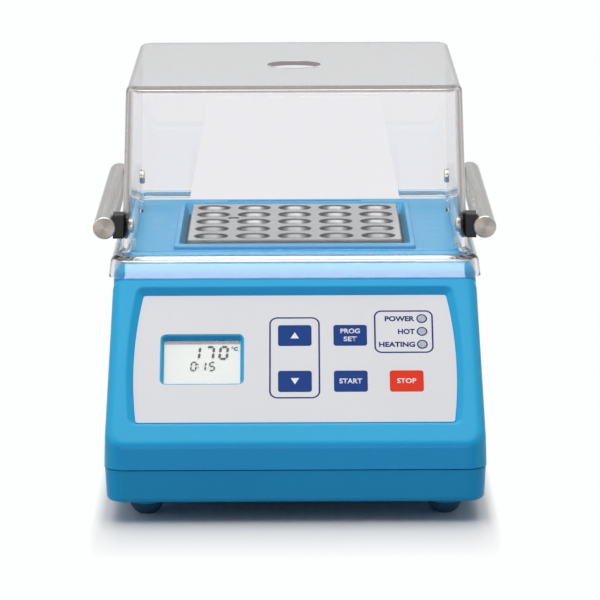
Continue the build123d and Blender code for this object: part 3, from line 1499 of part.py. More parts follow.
def rest_lugs():
    """Short ribs inside the walls that stand on the deck."""
    outer = COVER_HALF_WIDTH_TOP + COVER_TAN * (COVER_TOP_Z - SHOULDER_Z)
    lugs = []
    for y in LUG_Y:
        reach = (y - LUG_LENGTH / 2, y + LUG_LENGTH / 2)
        for side in (-1, 1):
            inner = outer - COVER_WALL - LUG_REACH
            across = sorted((side * inner, side * (outer - FIT)))
            lugs.append(span_box(across, reach, (DECK_Z, SHOULDER_Z + LUG_RISE)))
    return lugs


def cover_shell():
    outside = cover_body(
        0, SKIRT_BOTTOM_Z, SHOULDER_Z, COVER_TOP_Z,
        SHOULDER_EDGE_R, SHOULDER_ROOT_R, COVER_TOP_EDGE_R,
    )
    inside = cover_body(
        COVER_WALL, SKIRT_BOTTOM_Z, SHOULDER_UNDER_Z, COVER_TOP_Z - COVER_WALL,
        SHOULDER_EDGE_R - SKIRT_WALL, SHOULDER_INNER_ROOT_R, COVER_TOP_EDGE_R - COVER_WALL,
    )
    shell = joined([outside - inside] + rest_lugs())
    shell -= rear_cut()
    shell -= post(0, VENT_Y, COVER_TOP_Z - COVER_WALL - OVER, COVER_TOP_Z + OVER, VENT_R)
    inner = HANDLE_WALL_X - 2 * COVER_WALL
    for side in (-1, 1):
        across = sorted((side * inner, side * (HANDLE_WALL_X + OVER)))
        for y in HANDLE_SCREW_Y:
            shell -= rod_x(y, HANDLE_Z, across[0], across[1], HANDLE_SCREW_R + FIT)
    return shell


def handle(side):
    """Round bar along a side of the cover."""
    bar = rod_y(side * HANDLE_X, HANDLE_Z, HANDLE_FRONT_Y, HANDLE_REAR_Y, HANDLE_R)
    bar = chamfer(bar.edges().filter_by(GeomType.CIRCLE), HANDLE_CHAMFER)
    end = HANDLE_SCREW_START + HANDLE_SCREW_REACH
    low, high = sorted((side * HANDLE_SCREW_START, side * end))
    for y in HANDLE_SCREW_Y:
        bar -= rod_x(y, HANDLE_Z, low, high, HANDLE_SCREW_R)
    return bar


def handle_saddles():
    """Black spacers between the cover's walls and the bars."""
    pieces = []
    tall = SADDLE_HEIGHT / 2
    half = SADDLE_LENGTH / 2
    far = HANDLE_X - HANDLE_R + SADDLE_WRAP
    walls = cover_walls(0, SKIRT_BOTTOM_Z, COVER_TOP_Z)
    for side in (-1, 1):
        across = sorted((side * (HANDLE_WALL_X - OVER), side * far))
        hole = sorted((side * (HANDLE_WALL_X - 2 * COVER_WALL), side * HANDLE_X))
        for y in HANDLE_SCREW_Y:
            piece = span_box(across, (y - half, y + half), (HANDLE_Z - tall, HANDLE_Z + tall))
            piece = fillet(piece.edges().filter_by(Axis.X), SADDLE_CORNER_R) - walls
            piece -= rod_y(side * HANDLE_X, HANDLE_Z, y - SADDLE_LENGTH, y + SADDLE_LENGTH, HANDLE_R)
            pieces.append(piece - rod_x(y, HANDLE_Z, hole[0], hole[1], HANDLE_SCREW_R + FIT))
    return group(pieces)


def handle_screws():
    """Domed screws inside the cover that hold the bars."""
    pieces = []
    seat = HANDLE_WALL_X - COVER_WALL - COVER_TAN * HANDLE_HEAD_R
    length = HANDLE_SCREW_START + HANDLE_SCREW_REACH - seat
    screw = pan_screw(HANDLE_SCREW_R, length, HANDLE_HEAD_R, HANDLE_HEAD_HEIGHT)
    for side in (-1, 1):
        for y in HANDLE_SCREW_Y:
            pieces.append(Pos(side * seat, y, HANDLE_Z) * Rot(0, -90 * side, 0) * screw)
    return group(pieces)


PARTS = {
    "top_shell": top_shell,
    "bottom_shell": bottom_shell,
    "feet": feet,
    "foot_screws": foot_screws,
    "case_screws": case_screws,
    "panel_overlay": panel_overlay,
    "indicator_lenses": indicator_lenses,
    "display_window": display_window,
    "display_module": display_module,
    "display_board": display_board,
    "key_switches": key_switches,
    "indicator_lamps": indicator_lamps,
    "board_screws": board_screws,
    "heating_block": heating_block,
    "block_base": block_base,
    "heater_plate": heater_plate,
    "clamp_plate": clamp_plate,
    "insulation_base": insulation_base,
    "insulation_frame": insulation_frame,
    "block_gasket": block_gasket,
    "block_sensor": block_sensor,
    "thermal_cutout": thermal_cutout,
    "block_spacers": block_spacers,
    "block_bolts": block_bolts,
    "block_tray": block_tray,
    "tray_screws": tray_screws,
    "heat_shield": heat_shield,
    "rear_panel": rear_panel,
    "rear_panel_screws": rear_panel_screws,
    "power_inlet": power_inlet,
    "inlet_pins": inlet_pins,
    "inlet_screws": inlet_screws,
    "fuse_holder": fuse_holder,
    "fuse_drawer": fuse_drawer,
    "fuses": fuses,
    "switch_housing": switch_housing,
    "switch_rocker": switch_rocker,
    "power_board": power_board,
    "power_board_screws": power_board_screws,
    "transformer_core": transformer_core,
    "transformer_coil": transformer_coil,
    "heat_sink": heat_sink,
    "triac": triac,
    "relay": relay,
    "terminal_block": terminal_block,
    "capacitors": capacitors,
    "cover_shell": cover_shell,
    "handle_saddles": handle_saddles,
    "handle_screws": handle_screws,
}


def build_all():
    """Every node's shape by name."""
    shapes = {name: make() for name, make in PARTS.items()}
    for name in KEYS:
        shapes[name] = key(name)
    for name, side in (("handle_left", -1), ("handle_right", 1)):
        shapes[name] = handle(side)
    return shapes


os.makedirs("parts", exist_ok=True)
for node, shape in build_all().items():
    export_step(shape, os.path.join("parts", node + ".step"))
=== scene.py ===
import json
import math

import bpy
from mathutils import Matrix, Vector

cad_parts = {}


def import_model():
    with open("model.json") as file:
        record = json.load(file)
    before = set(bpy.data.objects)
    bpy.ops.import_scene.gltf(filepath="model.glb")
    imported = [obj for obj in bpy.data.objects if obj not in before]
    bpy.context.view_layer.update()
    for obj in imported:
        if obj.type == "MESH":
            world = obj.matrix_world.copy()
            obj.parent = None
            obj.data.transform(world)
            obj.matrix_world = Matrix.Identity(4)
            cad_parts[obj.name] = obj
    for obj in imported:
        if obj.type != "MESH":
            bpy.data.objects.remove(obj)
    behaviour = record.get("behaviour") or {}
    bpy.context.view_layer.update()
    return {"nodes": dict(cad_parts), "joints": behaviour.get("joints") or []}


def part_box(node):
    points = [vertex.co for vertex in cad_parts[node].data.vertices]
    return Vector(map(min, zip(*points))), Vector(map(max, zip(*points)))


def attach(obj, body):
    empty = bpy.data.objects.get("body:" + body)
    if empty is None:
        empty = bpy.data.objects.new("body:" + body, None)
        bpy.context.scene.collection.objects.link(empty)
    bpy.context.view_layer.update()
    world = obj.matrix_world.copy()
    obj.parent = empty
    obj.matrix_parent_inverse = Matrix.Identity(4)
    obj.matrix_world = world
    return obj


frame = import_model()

# Heating block for glass vials: blue moulded case, sloped key panel, clear lift-off cover.
# Metres, in the frame's own axes: X to the right, Y to the rear, Z up from the bench.

MM = 0.001
NODES = frame["nodes"]

# ---- camera: where it stands and how it is turned
CAMERA_PLACE = (1.04 * MM, -1830.3 * MM, 436.9 * MM)
CAMERA_PITCH = math.radians(11.0710)
CAMERA_YAW = math.radians(0.0455)
CAMERA_ROLL = math.radians(-0.2189)
CAMERA_LENS = 227.72

# ---- colours, written as they show in an sRGB picture
CASE_BLUE = (0.160, 0.690, 0.895)
# painted shade: the deeper blue painted on the case's upright front and rear faces
CASE_BLUE_SHADED_WALL = (0.110, 0.665, 0.935)
CASE_BLUE_LOW = (0.100, 0.640, 0.885)
RUBBER_NAVY = (0.170, 0.370, 0.500)
PANEL_GREY = (0.893, 0.893, 0.907)
INK_BLUE = (0.040, 0.150, 0.460)
KEY_BLUE = (0.020, 0.235, 0.540)
KEY_RED = (0.930, 0.200, 0.060)
INK_WHITE = (0.960, 0.965, 0.985)
LCD_PALE = (0.980, 0.962, 0.920)
# painted shadow: grey band along the top of the display cell
LCD_PAINTED_SHADOW = (0.440, 0.500, 0.530)
LCD_DARK = (0.060, 0.062, 0.066)
LENS_GREY = (0.720, 0.735, 0.770)
STEEL = (0.800, 0.790, 0.780)
SHEET_STEEL = (0.720, 0.720, 0.730)
# painted shade: a darker copy of the steel for the bars' end faces
BAR_END_SHADED = (0.570, 0.540, 0.522)
ALUMINIUM = (0.790, 0.790, 0.805)
# painted highlight on the rear walls of the wells
WELL_PAINTED_GLINT = (0.985, 0.985, 0.990)
ANODISED = (0.160, 0.160, 0.170)
BLACK_PLASTIC = (0.085, 0.085, 0.092)
GASKET_BLACK = (0.055, 0.055, 0.060)
BOARD_GREEN = (0.060, 0.330, 0.180)
TERMINAL_GREEN = (0.120, 0.420, 0.250)
BRASS = (0.860, 0.720, 0.420)
INSULATION = (0.880, 0.860, 0.800)
HEATER_AMBER = (0.640, 0.330, 0.110)
TAPE_YELLOW = (0.830, 0.700, 0.220)
FLOOR_WHITE = (0.960, 0.955, 0.950)
STUDIO_WHITE = (0.992, 0.997, 0.997)
SEEN_THROUGH = (0.926, 0.924, 0.940)

# ---- clear plastics and glass
COVER_CLEAR = (0.995, 0.995, 0.994)
# painted reflection: brownish grey tint on the cover's rounded front edges
COVER_EDGE_REFLECTION = (0.690, 0.670, 0.655)
PANE_CLEAR = (0.970, 0.980, 0.975)
FUSE_CLEAR = (0.960, 0.970, 0.970)
CLEAR_SHADOW = (0.965, 0.975, 0.985)
# painted shade: grey let through once glossy rays are spent, which draws dark lines along the
# cover's edges
CLEAR_SPENT_SHADE = (0.700, 0.685, 0.675)

# ---- the room's brightness: as light, in mirrors low down and overhead, through clear parts
ROOM_LIGHT = 0.27
ROOM_LOW = 0.45
ROOM_OVERHEAD = 1.0
ROOM_THROUGH = 0.85
ROOM_SEEN = 1.0

# ---- the floor: how far from the object it stays lit, and how much colour it throws back
FLOOR_LIT = (4 * MM, 60 * MM)
FLOOR_SIDEWAYS = 10.0
FLOOR_BOUNCE = 0.45

# ---- bands in which painted light and shade on a finish change, each from its start to its full strength
BLOCK_FRONT = (0.8 * MM, 1.2 * MM)
WELL_LIP = (0.95 * MM, 0.75 * MM)
GLINT_BELOW_TOP = (2.6 * MM, 1.6 * MM)
GLINT_ROWS = (34 * MM, 38 * MM)
GLINT_FRONT_ROWS = 0.35
COVER_FRONT = (20 * MM, 24 * MM)
COVER_FOOT = (18 * MM, 24 * MM)

# ---- the slope, measured up it from the nose and out from its face
PANEL_EDGE_UP = 13.7 * MM
SHEET_THICKNESS = 0.5 * MM
FIGURES_DEPTH = 2.88 * MM
# where the painted shadow on the display cell starts, up the slope
LCD_SHADOW_UP = 59.6 * MM
INK_THICKNESS = 0.03 * MM

# ---- keys and lamps on the panel's grid
KEY_GRID = 26.0 * MM
KEY_FIRST = (-0.1 * MM, 36.5 * MM)
LAMP_X = 59.6 * MM
LAMP_TOP = 71.9 * MM
LAMP_PITCH = 7.35 * MM

# ---- print on the film: frames as left, right, low, high and corner, in millimetres
FRAME_LINE = 0.78 * MM
KEY_FRAME = (-11.7, 11.3, 27.3, 72.6, 3.6)
LAMP_FRAME = (37.5, 64.5, 52.7, 76.3, 3.2)
RING_R = 2.55 * MM
RING_LINE = 0.66 * MM
LAMP_NAMES = {"POWER": 14.0, "HOT": 7.9, "HEATING": 16.9}
NAME_END = 56.2 * MM
NAME_HEIGHT = 3.0 * MM
NAME_WEIGHT = 0.038

# ---- print on the keys
LEGEND_PROUD = 0.12 * MM
LEGEND_WEIGHT = 0.03
ARROW_WIDTH = 3.9 * MM
ARROW_HEIGHT = 3.5 * MM

# ---- figures of the display: each digit and its middle across, in millimetres
FIGURES_LEAN = 0.1
WARMTH = (("1", -46.4), ("7", -39.9), ("0", -33.4))
WARMTH_SIZE = {"up": 54.6 * MM, "width": 3.4 * MM, "height": 6.7 * MM, "stroke": 1.18 * MM}
MINUTES = (("0", -47.4), ("1", -43.0), ("5", -38.8))
MINUTES_SIZE = {"up": 47.0 * MM, "width": 2.25 * MM, "height": 4.6 * MM, "stroke": 0.74 * MM}
COLON_X = -45.3 * MM
COLON_UP = (46.4 * MM, 48.1 * MM)


def linear(value):
    """One channel of an sRGB colour as light."""
    return value / 12.92 if value <= 0.04045 else ((value + 0.055) / 1.055) ** 2.4


def paint(colour, share=1.0):
    """An sRGB colour as the four numbers a shader takes."""
    return tuple(linear(channel) * share for channel in colour) + (1.0,)


# ---------------------------------------------------------------- places on the slope


def key_axis():
    """Inward direction of the keys, which is square to the slope."""
    joint = [j for j in frame["joints"] if j["name"] == "up_key_press"][0]
    return Vector(joint["axis"])


INWARD = key_axis()
UP_SLOPE = Vector((0, -INWARD.z, INWARD.y))


def slope_origin():
    """The point on the film's face, on the middle plane, level with the nose's edge."""
    low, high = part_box("panel_overlay")
    lower_edge = Vector((0, low.y, low.z - INWARD.z * SHEET_THICKNESS))
    return lower_edge - UP_SLOPE * PANEL_EDGE_UP


ORIGIN = slope_origin()


def on_slope(depth=0.0):
    """Matrix from flat drawings (x, up, out) to the film's face, sunk by a depth."""
    matrix = Matrix.Identity(4)
    columns = (Vector((1, 0, 0)), UP_SLOPE, -INWARD, ORIGIN + INWARD * depth)
    for place, column in enumerate(columns):
        matrix.col[place][0:3] = column
    return matrix


# ---------------------------------------------------------------- shader nodes


class Finish:
    """A material under construction: its nodes, and the shader that shows."""

    def __init__(self, name):
        self.material = bpy.data.materials.new(name)
        self.material.use_nodes = True
        self.tree = self.material.node_tree
        self.shader = self.tree.nodes["Principled BSDF"]
        self.output = self.tree.nodes["Material Output"]
        self.coordinates = self.add("ShaderNodeTexCoord").outputs["Object"]

    def add(self, kind, **values):
        node = self.tree.nodes.new(kind)
        for key, value in values.items():
            setattr(node, key, value)
        return node

    def link(self, start, end):
        self.tree.links.new(start, end)

    def put(self, **values):
        """Plain values on the shader's own sockets, with _ for a space."""
        for key, value in values.items():
            self.shader.inputs[key.replace("_", " ")].default_value = value
        return self

    def stretched(self, scale, offset=(0, 0, 0), turn=(0, 0, 0)):
        """Object coordinates scaled per axis, after a move."""
        mapping = self.add("ShaderNodeMapping")
        mapping.inputs["Location"].default_value = offset
        mapping.inputs["Rotation"].default_value = turn
        mapping.inputs["Scale"].default_value = scale
        self.link(self.coordinates, mapping.inputs["Vector"])
        return mapping.outputs["Vector"]

    def noise(self, scale, detail=3.0, rough=0.55, vector=None):
        node = self.add("ShaderNodeTexNoise")
        node.inputs["Scale"].default_value = scale
        node.inputs["Detail"].default_value = detail
        node.inputs["Roughness"].default_value = rough
        self.link(vector or self.coordinates, node.inputs["Vector"])
        return node.outputs["Fac"]

    def apart(self, vector):
        """The X, Y and Z of a vector, by name."""
        node = self.add("ShaderNodeSeparateXYZ")
        self.link(vector, node.inputs[0])
        return node.outputs

    def normal(self):
        """Where the surface faces, as X, Y and Z by name."""
        return self.apart(self.add("ShaderNodeNewGeometry").outputs["Normal"])

    def between(self, source, low, high, start=0.3, end=0.7):
        """A value spread from low to high as the source goes from start to end."""
        node = self.add("ShaderNodeMapRange")
        node.inputs["From Min"].default_value = start
        node.inputs["From Max"].default_value = end
        node.inputs["To Min"].default_value = low
        node.inputs["To Max"].default_value = high
        self.link(source, node.inputs["Value"])
        return node.outputs["Result"]

    def rise(self, source, start, end):
        """A share from 0 to 1 as the source goes from start to end."""
        return self.between(source, 0.0, 1.0, start, end)

    def shade(self, source, first, second):
        """A colour between two, by a source from 0 to 1. Each is plain or comes from a node."""
        node = self.add("ShaderNodeMix", data_type="RGBA")
        self.link(source, node.inputs[0])
        for place, value in ((6, first), (7, second)):
            if isinstance(value, tuple):
                node.inputs[place].default_value = value
            else:
                self.link(value, node.inputs[place])
        return node.outputs[2]

    def maths(self, operation, first, second=None):
        node = self.add("ShaderNodeMath", operation=operation)
        for place, value in enumerate((first, second)):
            if value is None:
                continue
            if isinstance(value, (int, float)):
                node.inputs[place].default_value = value
            else:
                self.link(value, node.inputs[place])
        return node.outputs[0]

    def product(self, first, *others):
        """Several values multiplied."""
        for other in others:
            first = self.maths("MULTIPLY", first, other)
        return first

    def wave(self, kind, scale, vector=None, **values):
        """A wave texture's node, in rings or bands."""
        node = self.add("ShaderNodeTexWave", wave_type=kind, **values)
        node.inputs["Scale"].default_value = scale
        self.link(vector or self.coordinates, node.inputs["Vector"])
        return node

    def bump(self, height, distance, strength=1.0):
        """Raise the surface by a height map, over a distance in metres."""
        node = self.add("ShaderNodeBump")
        node.inputs["Strength"].default_value = strength
        node.inputs["Distance"].default_value = distance
        self.link(height, node.inputs["Height"])
        if self.shader.inputs["Normal"].is_linked:
            self.link(self.shader.inputs["Normal"].links[0].from_socket, node.inputs["Normal"])
        self.link(node.outputs["Normal"], self.shader.inputs["Normal"])
        return self

    def colour(self, source):
        self.link(source, self.shader.inputs["Base Color"])
        return self

    def coloured(self):
        """The colour that the shader has so far."""
        return self.shader.inputs["Base Color"].links[0].from_socket

    def roughness(self, source):
        self.link(source, self.shader.inputs["Roughness"])
        return self


def varied(finish, colour, change, scale):
    """Colour that wanders a little over the surface."""
    source = finish.between(finish.noise(scale), 0.0, 1.0)
    return finish.shade(source, paint(colour, 1 - change), paint(colour, 1 + change))


def facing(finish, axis, start=0.5, end=0.9):
    """How squarely the surface faces along an axis, either way."""
    return finish.rise(finish.maths("ABSOLUTE", finish.normal()[axis]), start, end)


def moulded_plastic(name, colour, gloss, grain=1100.0, relief=0.02 * MM, change=0.03):
    """Injection-moulded plastic: fine spark grain, slight flow in its colour, soft gloss."""
    finish = Finish(name).put(IOR=1.5, Specular_IOR_Level=0.3)
    finish.colour(varied(finish, colour, change, 9.0))
    finish.roughness(finish.between(finish.noise(140.0), gloss - 0.04, gloss + 0.05))
    return finish.bump(finish.noise(grain, 2.0), relief, 0.35)


def case_plastic(name, colour, shaded_wall_colour):
    """Moulded case: its upright front and rear faces are painted a deeper blue, as painted
    shade.
    """
    finish = moulded_plastic(name, colour, 0.34).put(Specular_IOR_Level=0.18)
    # painted shade on the upright faces, picked by which way they face
    wall = varied(finish, shaded_wall_colour, 0.03, 9.0)
    return finish.colour(finish.shade(facing(finish, "Y", 0.8, 0.97), finish.coloured(), wall))


def rubber(name, colour):
    """Matt rubber with a coarse grain."""
    return moulded_plastic(name, colour, 0.62, 1600.0, 0.03 * MM, 0.08)


def key_cap(name, colour):
    """Matt printed cap."""
    return moulded_plastic(name, colour, 0.45, 1800.0, 0.01 * MM).put(Specular_IOR_Level=0.12)


def brushed_metal(name, colour, rough, along, lines=2600.0, depth=0.012 * MM):
    """Metal with fine lines along one axis ("X", "Y" or "Z")."""
    finish = Finish(name).put(Metallic=1.0)
    scale = [1.0, 1.0, 1.0]
    scale["XYZ".index(along)] = 0.012
    vector = finish.stretched(scale)
    fine = finish.noise(lines, 4.0, 0.6, vector)
    spread = finish.between(fine, 0.0, 1.0)
    finish.colour(finish.shade(spread, paint(colour, 0.86), paint(colour, 1.04)))
    finish.roughness(finish.between(fine, rough - 0.06, rough + 0.08))
    return finish.bump(fine, depth, 0.5)


def plain_metal(name, colour, rough, mottle=60.0):
    """Plated or cast metal with a faint mottle."""
    finish = Finish(name).put(Metallic=1.0)
    finish.colour(varied(finish, colour, 0.05, mottle))
    finish.roughness(finish.between(finish.noise(mottle * 5), rough - 0.05, rough + 0.06))
    return finish.bump(finish.noise(2400.0, 2.0), 0.01 * MM, 0.3)


def turned_end(finish, node):
    """Fine turned rings round a bar's axis, and the painted highlight wedges that cross them."""
    low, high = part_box(node)
    middle = (low + high) / 2
    from_axis = finish.apart(finish.stretched((1, 1, 1), (-middle.x, 0, -middle.z)))
    across = from_axis["X"]
    up = from_axis["Z"]
    square = finish.maths("ADD", finish.product(across, across), finish.product(up, up))
    rings = finish.maths("SINE", finish.product(finish.maths("SQRT", square), 9000.0))
    turn = finish.product(finish.maths("ARCTAN2", up, across), 2.0)
    # painted highlight: bright wedges round the bar's axis
    painted_highlight_wedge = finish.maths("SINE", finish.maths("ADD", turn, 2.4))
    light = finish.maths("ADD", finish.product(painted_highlight_wedge, 0.7), finish.product(rings, 0.3))
    return rings, finish.rise(light, -1.0, 1.0)


def turned_steel(name, node):
    """Bar steel: brushed along the bar, turned on its ends, which are painted a darker steel as
    painted shade, with painted highlight wedges.
    """
    finish = brushed_metal(name, STEEL, 0.3, "Y", 2200.0)
    rings, light = turned_end(finish, node)
    # end faces: painted shade and painted highlight wedges over the turned rings
    end = finish.shade(light, paint(BAR_END_SHADED, 0.72), paint(BAR_END_SHADED, 1.3))
    finish.colour(finish.shade(facing(finish, "Y"), finish.coloured(), end))
    return finish.bump(rings, 0.004 * MM, 0.3)


def printed_film(name):
    """Polycarbonate film with a fine velvet texture."""
    finish = Finish(name).put(IOR=1.5)
    finish.colour(varied(finish, PANEL_GREY, 0.012, 22.0))
    finish.roughness(finish.between(finish.noise(500.0), 0.42, 0.5))
    return finish.bump(finish.noise(5200.0, 1.0), 0.008 * MM, 0.4)


def ink(name, colour):
    """Screen-printed ink with a faint mesh in it."""
    finish = Finish(name).put(IOR=1.45, Specular_IOR_Level=0.2)
    finish.colour(varied(finish, colour, 0.05, 700.0))
    finish.roughness(finish.between(finish.noise(900.0), 0.4, 0.5))
    return finish


def rounded_front(finish, node):
    """Where the cover gets a painted reflection: the rounded edges round its front wall, above
    its foot.
    """
    normal = finish.normal()
    upright, sideways, forward = (finish.maths("ABSOLUTE", normal[axis]) for axis in "ZXY")
    corner = finish.product(finish.rise(sideways, 0.62, 0.74), finish.rise(forward, 0.08, 0.2))
    top_edge = finish.rise(finish.product(upright, forward), 0.12, 0.4)
    turned = finish.maths("MAXIMUM", corner, top_edge)
    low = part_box(node)[0]
    place = finish.apart(finish.coordinates)
    near = finish.between(place["Y"], 1.0, 0.0, *(low.y + reach for reach in COVER_FRONT))
    above = finish.rise(place["Z"], *(low.z + reach for reach in COVER_FOOT))
    return finish.product(turned, near, above)


def clear_acrylic(name, tint, rough=0.015, edge_node=None):
    """Clear plastic that lets light and shadow rays straight through, and lets spent glossy rays
    through as painted grey shade; on the cover, a painted reflection tints its rounded front
    edges.
    """
    finish = Finish(name).put(IOR=1.49, Transmission_Weight=1.0)
    finish.colour(varied(finish, tint, 0.01, 6.0))
    if edge_node:
        # painted reflection of the surroundings on the cover's rounded edges
        edges = rounded_front(finish, edge_node)
        finish.colour(finish.shade(edges, finish.coloured(), paint(COVER_EDGE_REFLECTION)))
    finish.roughness(finish.between(finish.noise(30.0), 0.0, rough))
    path = finish.add("ShaderNodeLightPath").outputs
    # painted shade: past this glossy depth the plastic passes rays as grey
    spent = finish.maths("GREATER_THAN", path["Glossy Depth"], 2.5)
    clear = finish.add("ShaderNodeBsdfTransparent")
    seen = finish.shade(spent, paint(CLEAR_SHADOW), paint(CLEAR_SPENT_SHADE))
    finish.link(seen, clear.inputs["Color"])
    through = finish.maths("MAXIMUM", path["Is Shadow Ray"], path["Is Diffuse Ray"])
    through = finish.maths("MAXIMUM", through, spent)
    mix = finish.add("ShaderNodeMixShader")
    finish.link(through, mix.inputs[0])
    finish.link(finish.shader.outputs[0], mix.inputs[1])
    finish.link(clear.outputs[0], mix.inputs[2])
    finish.link(mix.outputs[0], finish.output.inputs["Surface"])
    return finish


def well_light(finish, node):
    """Painted light and shade in the block: bright top and rear walls of the wells, a painted
    dark front face, painted dark lips and sides, and a painted glint in the rear rows.
    """
    low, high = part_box(node)
    place = finish.apart(finish.coordinates)
    inside = finish.rise(place["Y"], *(low.y + reach for reach in BLOCK_FRONT))
    walls = finish.product(facing(finish, "Y", 0.6, 0.97), inside)
    shown = finish.maths("MAXIMUM", walls, facing(finish, "Z", 0.8, 0.95))
    # painted shade: the wells' sides and the block's front face darkened, tops and rear walls
    # kept bright
    finish.colour(finish.shade(shown, paint(ALUMINIUM, 0.22), finish.coloured()))
    upper = finish.rise(place["Z"], *(high.z - depth for depth in GLINT_BELOW_TOP))
    rear = finish.between(place["Y"], GLINT_FRONT_ROWS, 1.0, *GLINT_ROWS)
    glint = finish.product(upper, rear, facing(finish, "Y", 0.86, 0.98), inside)
    # painted highlight in the rear rows of wells
    finish.colour(finish.shade(glint, finish.coloured(), paint(WELL_PAINTED_GLINT)))
    # painted shade: a dark ring at each well's lip
    painted_lip_shade = finish.rise(place["Z"], *(high.z - depth for depth in WELL_LIP))
    painted_lip_shade = finish.product(painted_lip_shade, facing(finish, "Z", 0.8, 0.7), inside)
    return finish.colour(finish.shade(painted_lip_shade, finish.coloured(), paint(ALUMINIUM, 0.2)))


def machined_block(name):
    """Aluminium block: fly-cut marks across the top, reamed wells, painted light and shade in
    the wells.
    """
    finish = brushed_metal(name, ALUMINIUM, 0.3, "X", 1500.0, 0.01 * MM)
    well_light(finish, name)
    finish.roughness(finish.between(facing(finish, "Z"), 0.34, 0.3, 0.0, 1.0))
    reamed = finish.wave("BANDS", 900.0, bands_direction="Z")
    grooves = finish.product(reamed.outputs["Fac"], facing(finish, "Z", 0.9, 0.5))
    finish.bump(grooves, 0.12 * MM, 1.0)
    beside = finish.stretched((1, 1, 1), (0.31, 0.12, 0))
    arcs = finish.wave("RINGS", 420.0, beside, rings_direction="Z")
    arcs.inputs["Distortion"].default_value = 0.6
    arcs.inputs["Detail"].default_value = 1.0
    return finish.bump(arcs.outputs["Fac"], 0.004 * MM, 0.25)


def lcd_glass(name):
    """Pale reflective cell with a faint grain and a grey painted shadow along its upper edge,
    where the window's upper wall shades it.
    """
    finish = Finish(name).put(IOR=1.5, Specular_IOR_Level=0.3)
    along = finish.add("ShaderNodeVectorMath", operation="DOT_PRODUCT")
    finish.link(finish.coordinates, along.inputs[0])
    along.inputs[1].default_value = UP_SLOPE
    # painted shadow of the window's upper wall across the top of the cell
    edge = UP_SLOPE.dot(ORIGIN) + LCD_SHADOW_UP
    painted_shadow = finish.rise(along.outputs["Value"], edge - 0.3 * MM, edge + 0.2 * MM)
    cell = varied(finish, LCD_PALE, 0.015, 260.0)
    finish.colour(finish.shade(painted_shadow, cell, paint(LCD_PAINTED_SHADOW)))
    finish.roughness(finish.between(finish.noise(700.0), 0.3, 0.4))
    return finish


def circuit_board(name):
    """Solder mask with copper traces showing as lighter lines."""
    finish = Finish(name).put(IOR=1.5)
    trace = finish.add("ShaderNodeTexBrick")
    trace.inputs["Scale"].default_value = 190.0
    trace.inputs["Mortar Size"].default_value = 0.03
    trace.inputs["Color1"].default_value = paint(BOARD_GREEN)
    trace.inputs["Color2"].default_value = paint(BOARD_GREEN, 0.9)
    trace.inputs["Mortar"].default_value = paint(BOARD_GREEN, 1.7)
    finish.link(finish.coordinates, trace.inputs["Vector"])
    finish.colour(trace.outputs["Color"])
    finish.roughness(finish.between(finish.noise(300.0), 0.3, 0.4))
    return finish.bump(trace.outputs["Fac"], 0.03 * MM, 0.4)


def fibre_board(name):
    """Pressed mineral fibre."""
    finish = Finish(name)
    fibres = finish.noise(900.0, 6.0, 0.7, finish.stretched((1, 1, 0.2)))
    shade = finish.shade(finish.between(fibres, 0, 1), paint(INSULATION, 0.8), paint(INSULATION))
    finish.colour(shade).put(Roughness=0.95)
    return finish.bump(fibres, 0.3 * MM, 0.6)


def wound_tape(name):
    """Yellow tape over windings: fine turns side by side."""
    finish = Finish(name)
    turns = finish.wave("BANDS", 260.0, bands_direction="Z").outputs["Fac"]
    finish.colour(finish.shade(turns, paint(TAPE_YELLOW, 0.75), paint(TAPE_YELLOW)))
    return finish.put(Roughness=0.45).bump(turns, 0.1 * MM, 0.5)


def laminated_steel(name):
    """Stacked core plates, edge on."""
    finish = Finish(name).put(Metallic=1.0)
    plates = finish.wave("BANDS", 320.0, bands_direction="X").outputs["Fac"]
    finish.colour(finish.shade(plates, paint(BLACK_PLASTIC), paint(STEEL, 0.5)))
    return finish.put(Roughness=0.5).bump(plates, 0.1 * MM, 0.5)


def powder_coat(name):
    """Dark powder-coated plate."""
    finish = Finish(name).put(IOR=1.5)
    finish.colour(varied(finish, BLACK_PLASTIC, 0.15, 300.0))
    finish.roughness(finish.between(finish.noise(900.0), 0.42, 0.6))
    return finish.bump(finish.noise(1300.0, 3.0), 0.06 * MM, 0.5)


def lamp_lens(name):
    """Grey diffusing lens with fine prisms."""
    finish = Finish(name).put(IOR=1.5, Transmission_Weight=0.15)
    cells = finish.add("ShaderNodeTexVoronoi")
    cells.inputs["Scale"].default_value = 2200.0
    finish.link(finish.coordinates, cells.inputs["Vector"])
    finish.colour(varied(finish, LENS_GREY, 0.04, 300.0))
    finish.roughness(finish.between(finish.noise(900.0), 0.25, 0.35))
    return finish.bump(cells.outputs["Distance"], 0.05 * MM, 0.4)


